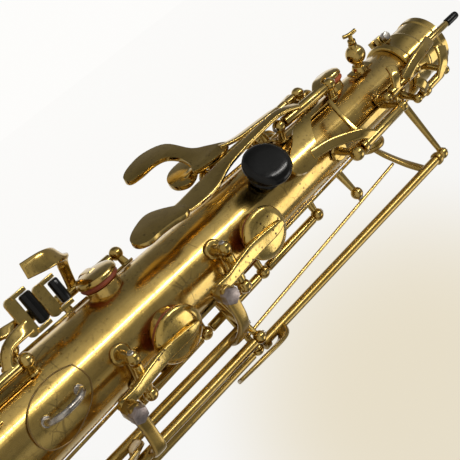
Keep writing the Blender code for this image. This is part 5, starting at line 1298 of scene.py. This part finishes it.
# ---- floor, light, camera ----
def glow_world():
    w = bpy.data.worlds.new("studio")
    bpy.context.scene.world = w
    w.use_nodes = True
    t = w.node_tree
    t.nodes.clear()
    out = t.nodes.new("ShaderNodeOutputWorld")
    bg = t.nodes.new("ShaderNodeBackground")
    t.links.new(bg.outputs[0], out.inputs[0])
    co = t.nodes.new("ShaderNodeTexCoord").outputs["Generated"]
    sep = t.nodes.new("ShaderNodeSeparateXYZ")
    t.links.new(co, sep.inputs[0])

    def m(op, a, b=None):
        n = t.nodes.new("ShaderNodeMath")
        n.operation = op
        for i, v in enumerate((a, b)):
            if v is None:
                continue
            if isinstance(v, (int, float)):
                n.inputs[i].default_value = v
            else:
                t.links.new(v, n.inputs[i])
        return n.outputs[0]

    def rng(v, a, b):
        n = t.nodes.new("ShaderNodeMapRange")
        n.interpolation_type = "SMOOTHSTEP"
        t.links.new(v, n.inputs["Value"])
        n.inputs["From Min"].default_value = a
        n.inputs["From Max"].default_value = b
        return n.outputs["Result"]

    def mix(f, a, b):
        n = t.nodes.new("ShaderNodeMix")
        n.data_type = "RGBA"
        t.links.new(f, n.inputs["Factor"])
        for k, v in ((6, a), (7, b)):
            if isinstance(v, tuple):
                n.inputs[k].default_value = (*v, 1.0)
            else:
                t.links.new(v, n.inputs[k])
        return n.outputs[2]

    az = m("DIVIDE", m("ARCTAN2", m("MULTIPLY", sep.outputs[0], -1.0), sep.outputs[1]), 2 * math.pi)
    u = m("ADD", az, 0.5)
    ramp = t.nodes.new("ShaderNodeValToRGB")
    t.links.new(u, ramp.inputs[0])
    stops = [(-180, 0.985), (-152, 0.985), (-140, 0.20), (-96, 0.13), (-82, 0.18), (-66, 0.34), (-55, 0.50), (-44, 0.58), (-36, 0.42), (-28, 0.46), (-25, 2.3), (-22, 0.38), (-16, 0.22), (0, 0.20), (12, 0.23), (24, 0.12), (36, 0.38), (50, 0.32), (62, 0.15), (80, 0.12), (100, 0.20), (122, 0.55), (140, 0.90), (180, 0.97)]
    els = ramp.color_ramp.elements
    while len(els) < len(stops):
        els.new(0.5)
    for e, (a, v) in zip(sorted(els, key=lambda e: e.position), stops):
        e.position = a / 360.0 + 0.5
    for e, (a, v) in zip(els, stops):
        e.position = a / 360.0 + 0.5
        e.color = (v, v * 0.992, v * 0.975, 1.0)
    col = mix(rng(sep.outputs[2], 0.80, 0.95), ramp.outputs[0], (0.30, 0.29, 0.28))
    col = mix(rng(sep.outputs[2], -0.25, -0.5), col, (0.20, 0.19, 0.17))
    # painted shadow: a soft beige patch in the backdrop toward the lower right of the camera view, standing in for the
    # cast shadow of the instrument on the white surface
    dot = t.nodes.new("ShaderNodeVectorMath")
    dot.operation = "DOT_PRODUCT"
    t.links.new(co, dot.inputs[0])
    dot.inputs[1].default_value = SHADOW_PATCH_DIR
    col = mix(rng(dot.outputs["Value"], 0.972, 0.9999), col, (0.80, 0.73, 0.58))
    t.links.new(col, bg.inputs["Color"])
    bg.inputs["Strength"].default_value = 1.0


CAM = Matrix(((-0.5958204, 0.7756428, 0.2082697), (0.4778998, 0.1340006, 0.8681334), (0.6454531, 0.6167837, -0.4505199))).to_4x4()
CAM.translation = Vector((0.09019133, 0.37891498 - ORIGIN.y * 0.001, (193.57892773 - 278.6) * 0.001))
# direction of the painted shadow patch in the backdrop, toward the lower right of the camera view
SHADOW_PATCH_DIR = (CAM.to_3x3() @ Vector(((430 - 230) / 986.8, -(400 - 230) / 986.8, -1.0))).normalized()
glow_world()

floor = bpy.data.meshes.new("floor")
bm = bmesh.new()
bmesh.ops.create_circle(bm, cap_ends=True, segments=64, radius=3.0)
bm.to_mesh(floor)
bm.free()
floor_ob = bpy.data.objects.new("floor", floor)
floor_ob.location = (0.0, 0.0, lo0[2] - 0.004)
bpy.context.scene.collection.objects.link(floor_ob)
n = Net("floor_look")
n.link(n.mix(n.noise(6.0, 4.0), (0.80, 0.78, 0.75), (0.74, 0.72, 0.69)), n.b.inputs["Base Color"])
n.b.inputs["Roughness"].default_value = 0.6
floor.materials.append(n.mat)


def area(name, az, el, dist, w, h, power, color=(1.0, 0.97, 0.92)):
    la = bpy.data.lights.new(name, "AREA")
    la.shape = "RECTANGLE"
    la.size, la.size_y = w, h
    la.energy = power
    la.color = color
    ob = bpy.data.objects.new(name, la)
    e = math.radians(el)
    d = er(az) * math.cos(e) + EZ * math.sin(e)
    ob.location = d * dist
    z = d
    x = EZ.cross(z).normalized()
    y = z.cross(x)
    ob.rotation_euler = Matrix((x, y, z)).transposed().to_euler()
    bpy.context.scene.collection.objects.link(ob)
    return ob


area("window", -25.0, 34.0, 1.8, 0.10, 1.3, 9.0)
area("fill", 60.0, 40.0, 2.0, 1.0, 1.0, 6.0)

cam = bpy.data.objects.new("camera", bpy.data.cameras.new("camera"))
bpy.context.scene.collection.objects.link(cam)
cam.matrix_world = CAM
cam.data.sensor_width = 36.0
cam.data.lens = 986.8 / 460.0 * 36.0
cam.data.clip_start = 0.01
cam.data.clip_end = 20.0
bpy.context.scene.camera = cam
bpy.context.scene.view_settings.view_transform = "Standard"
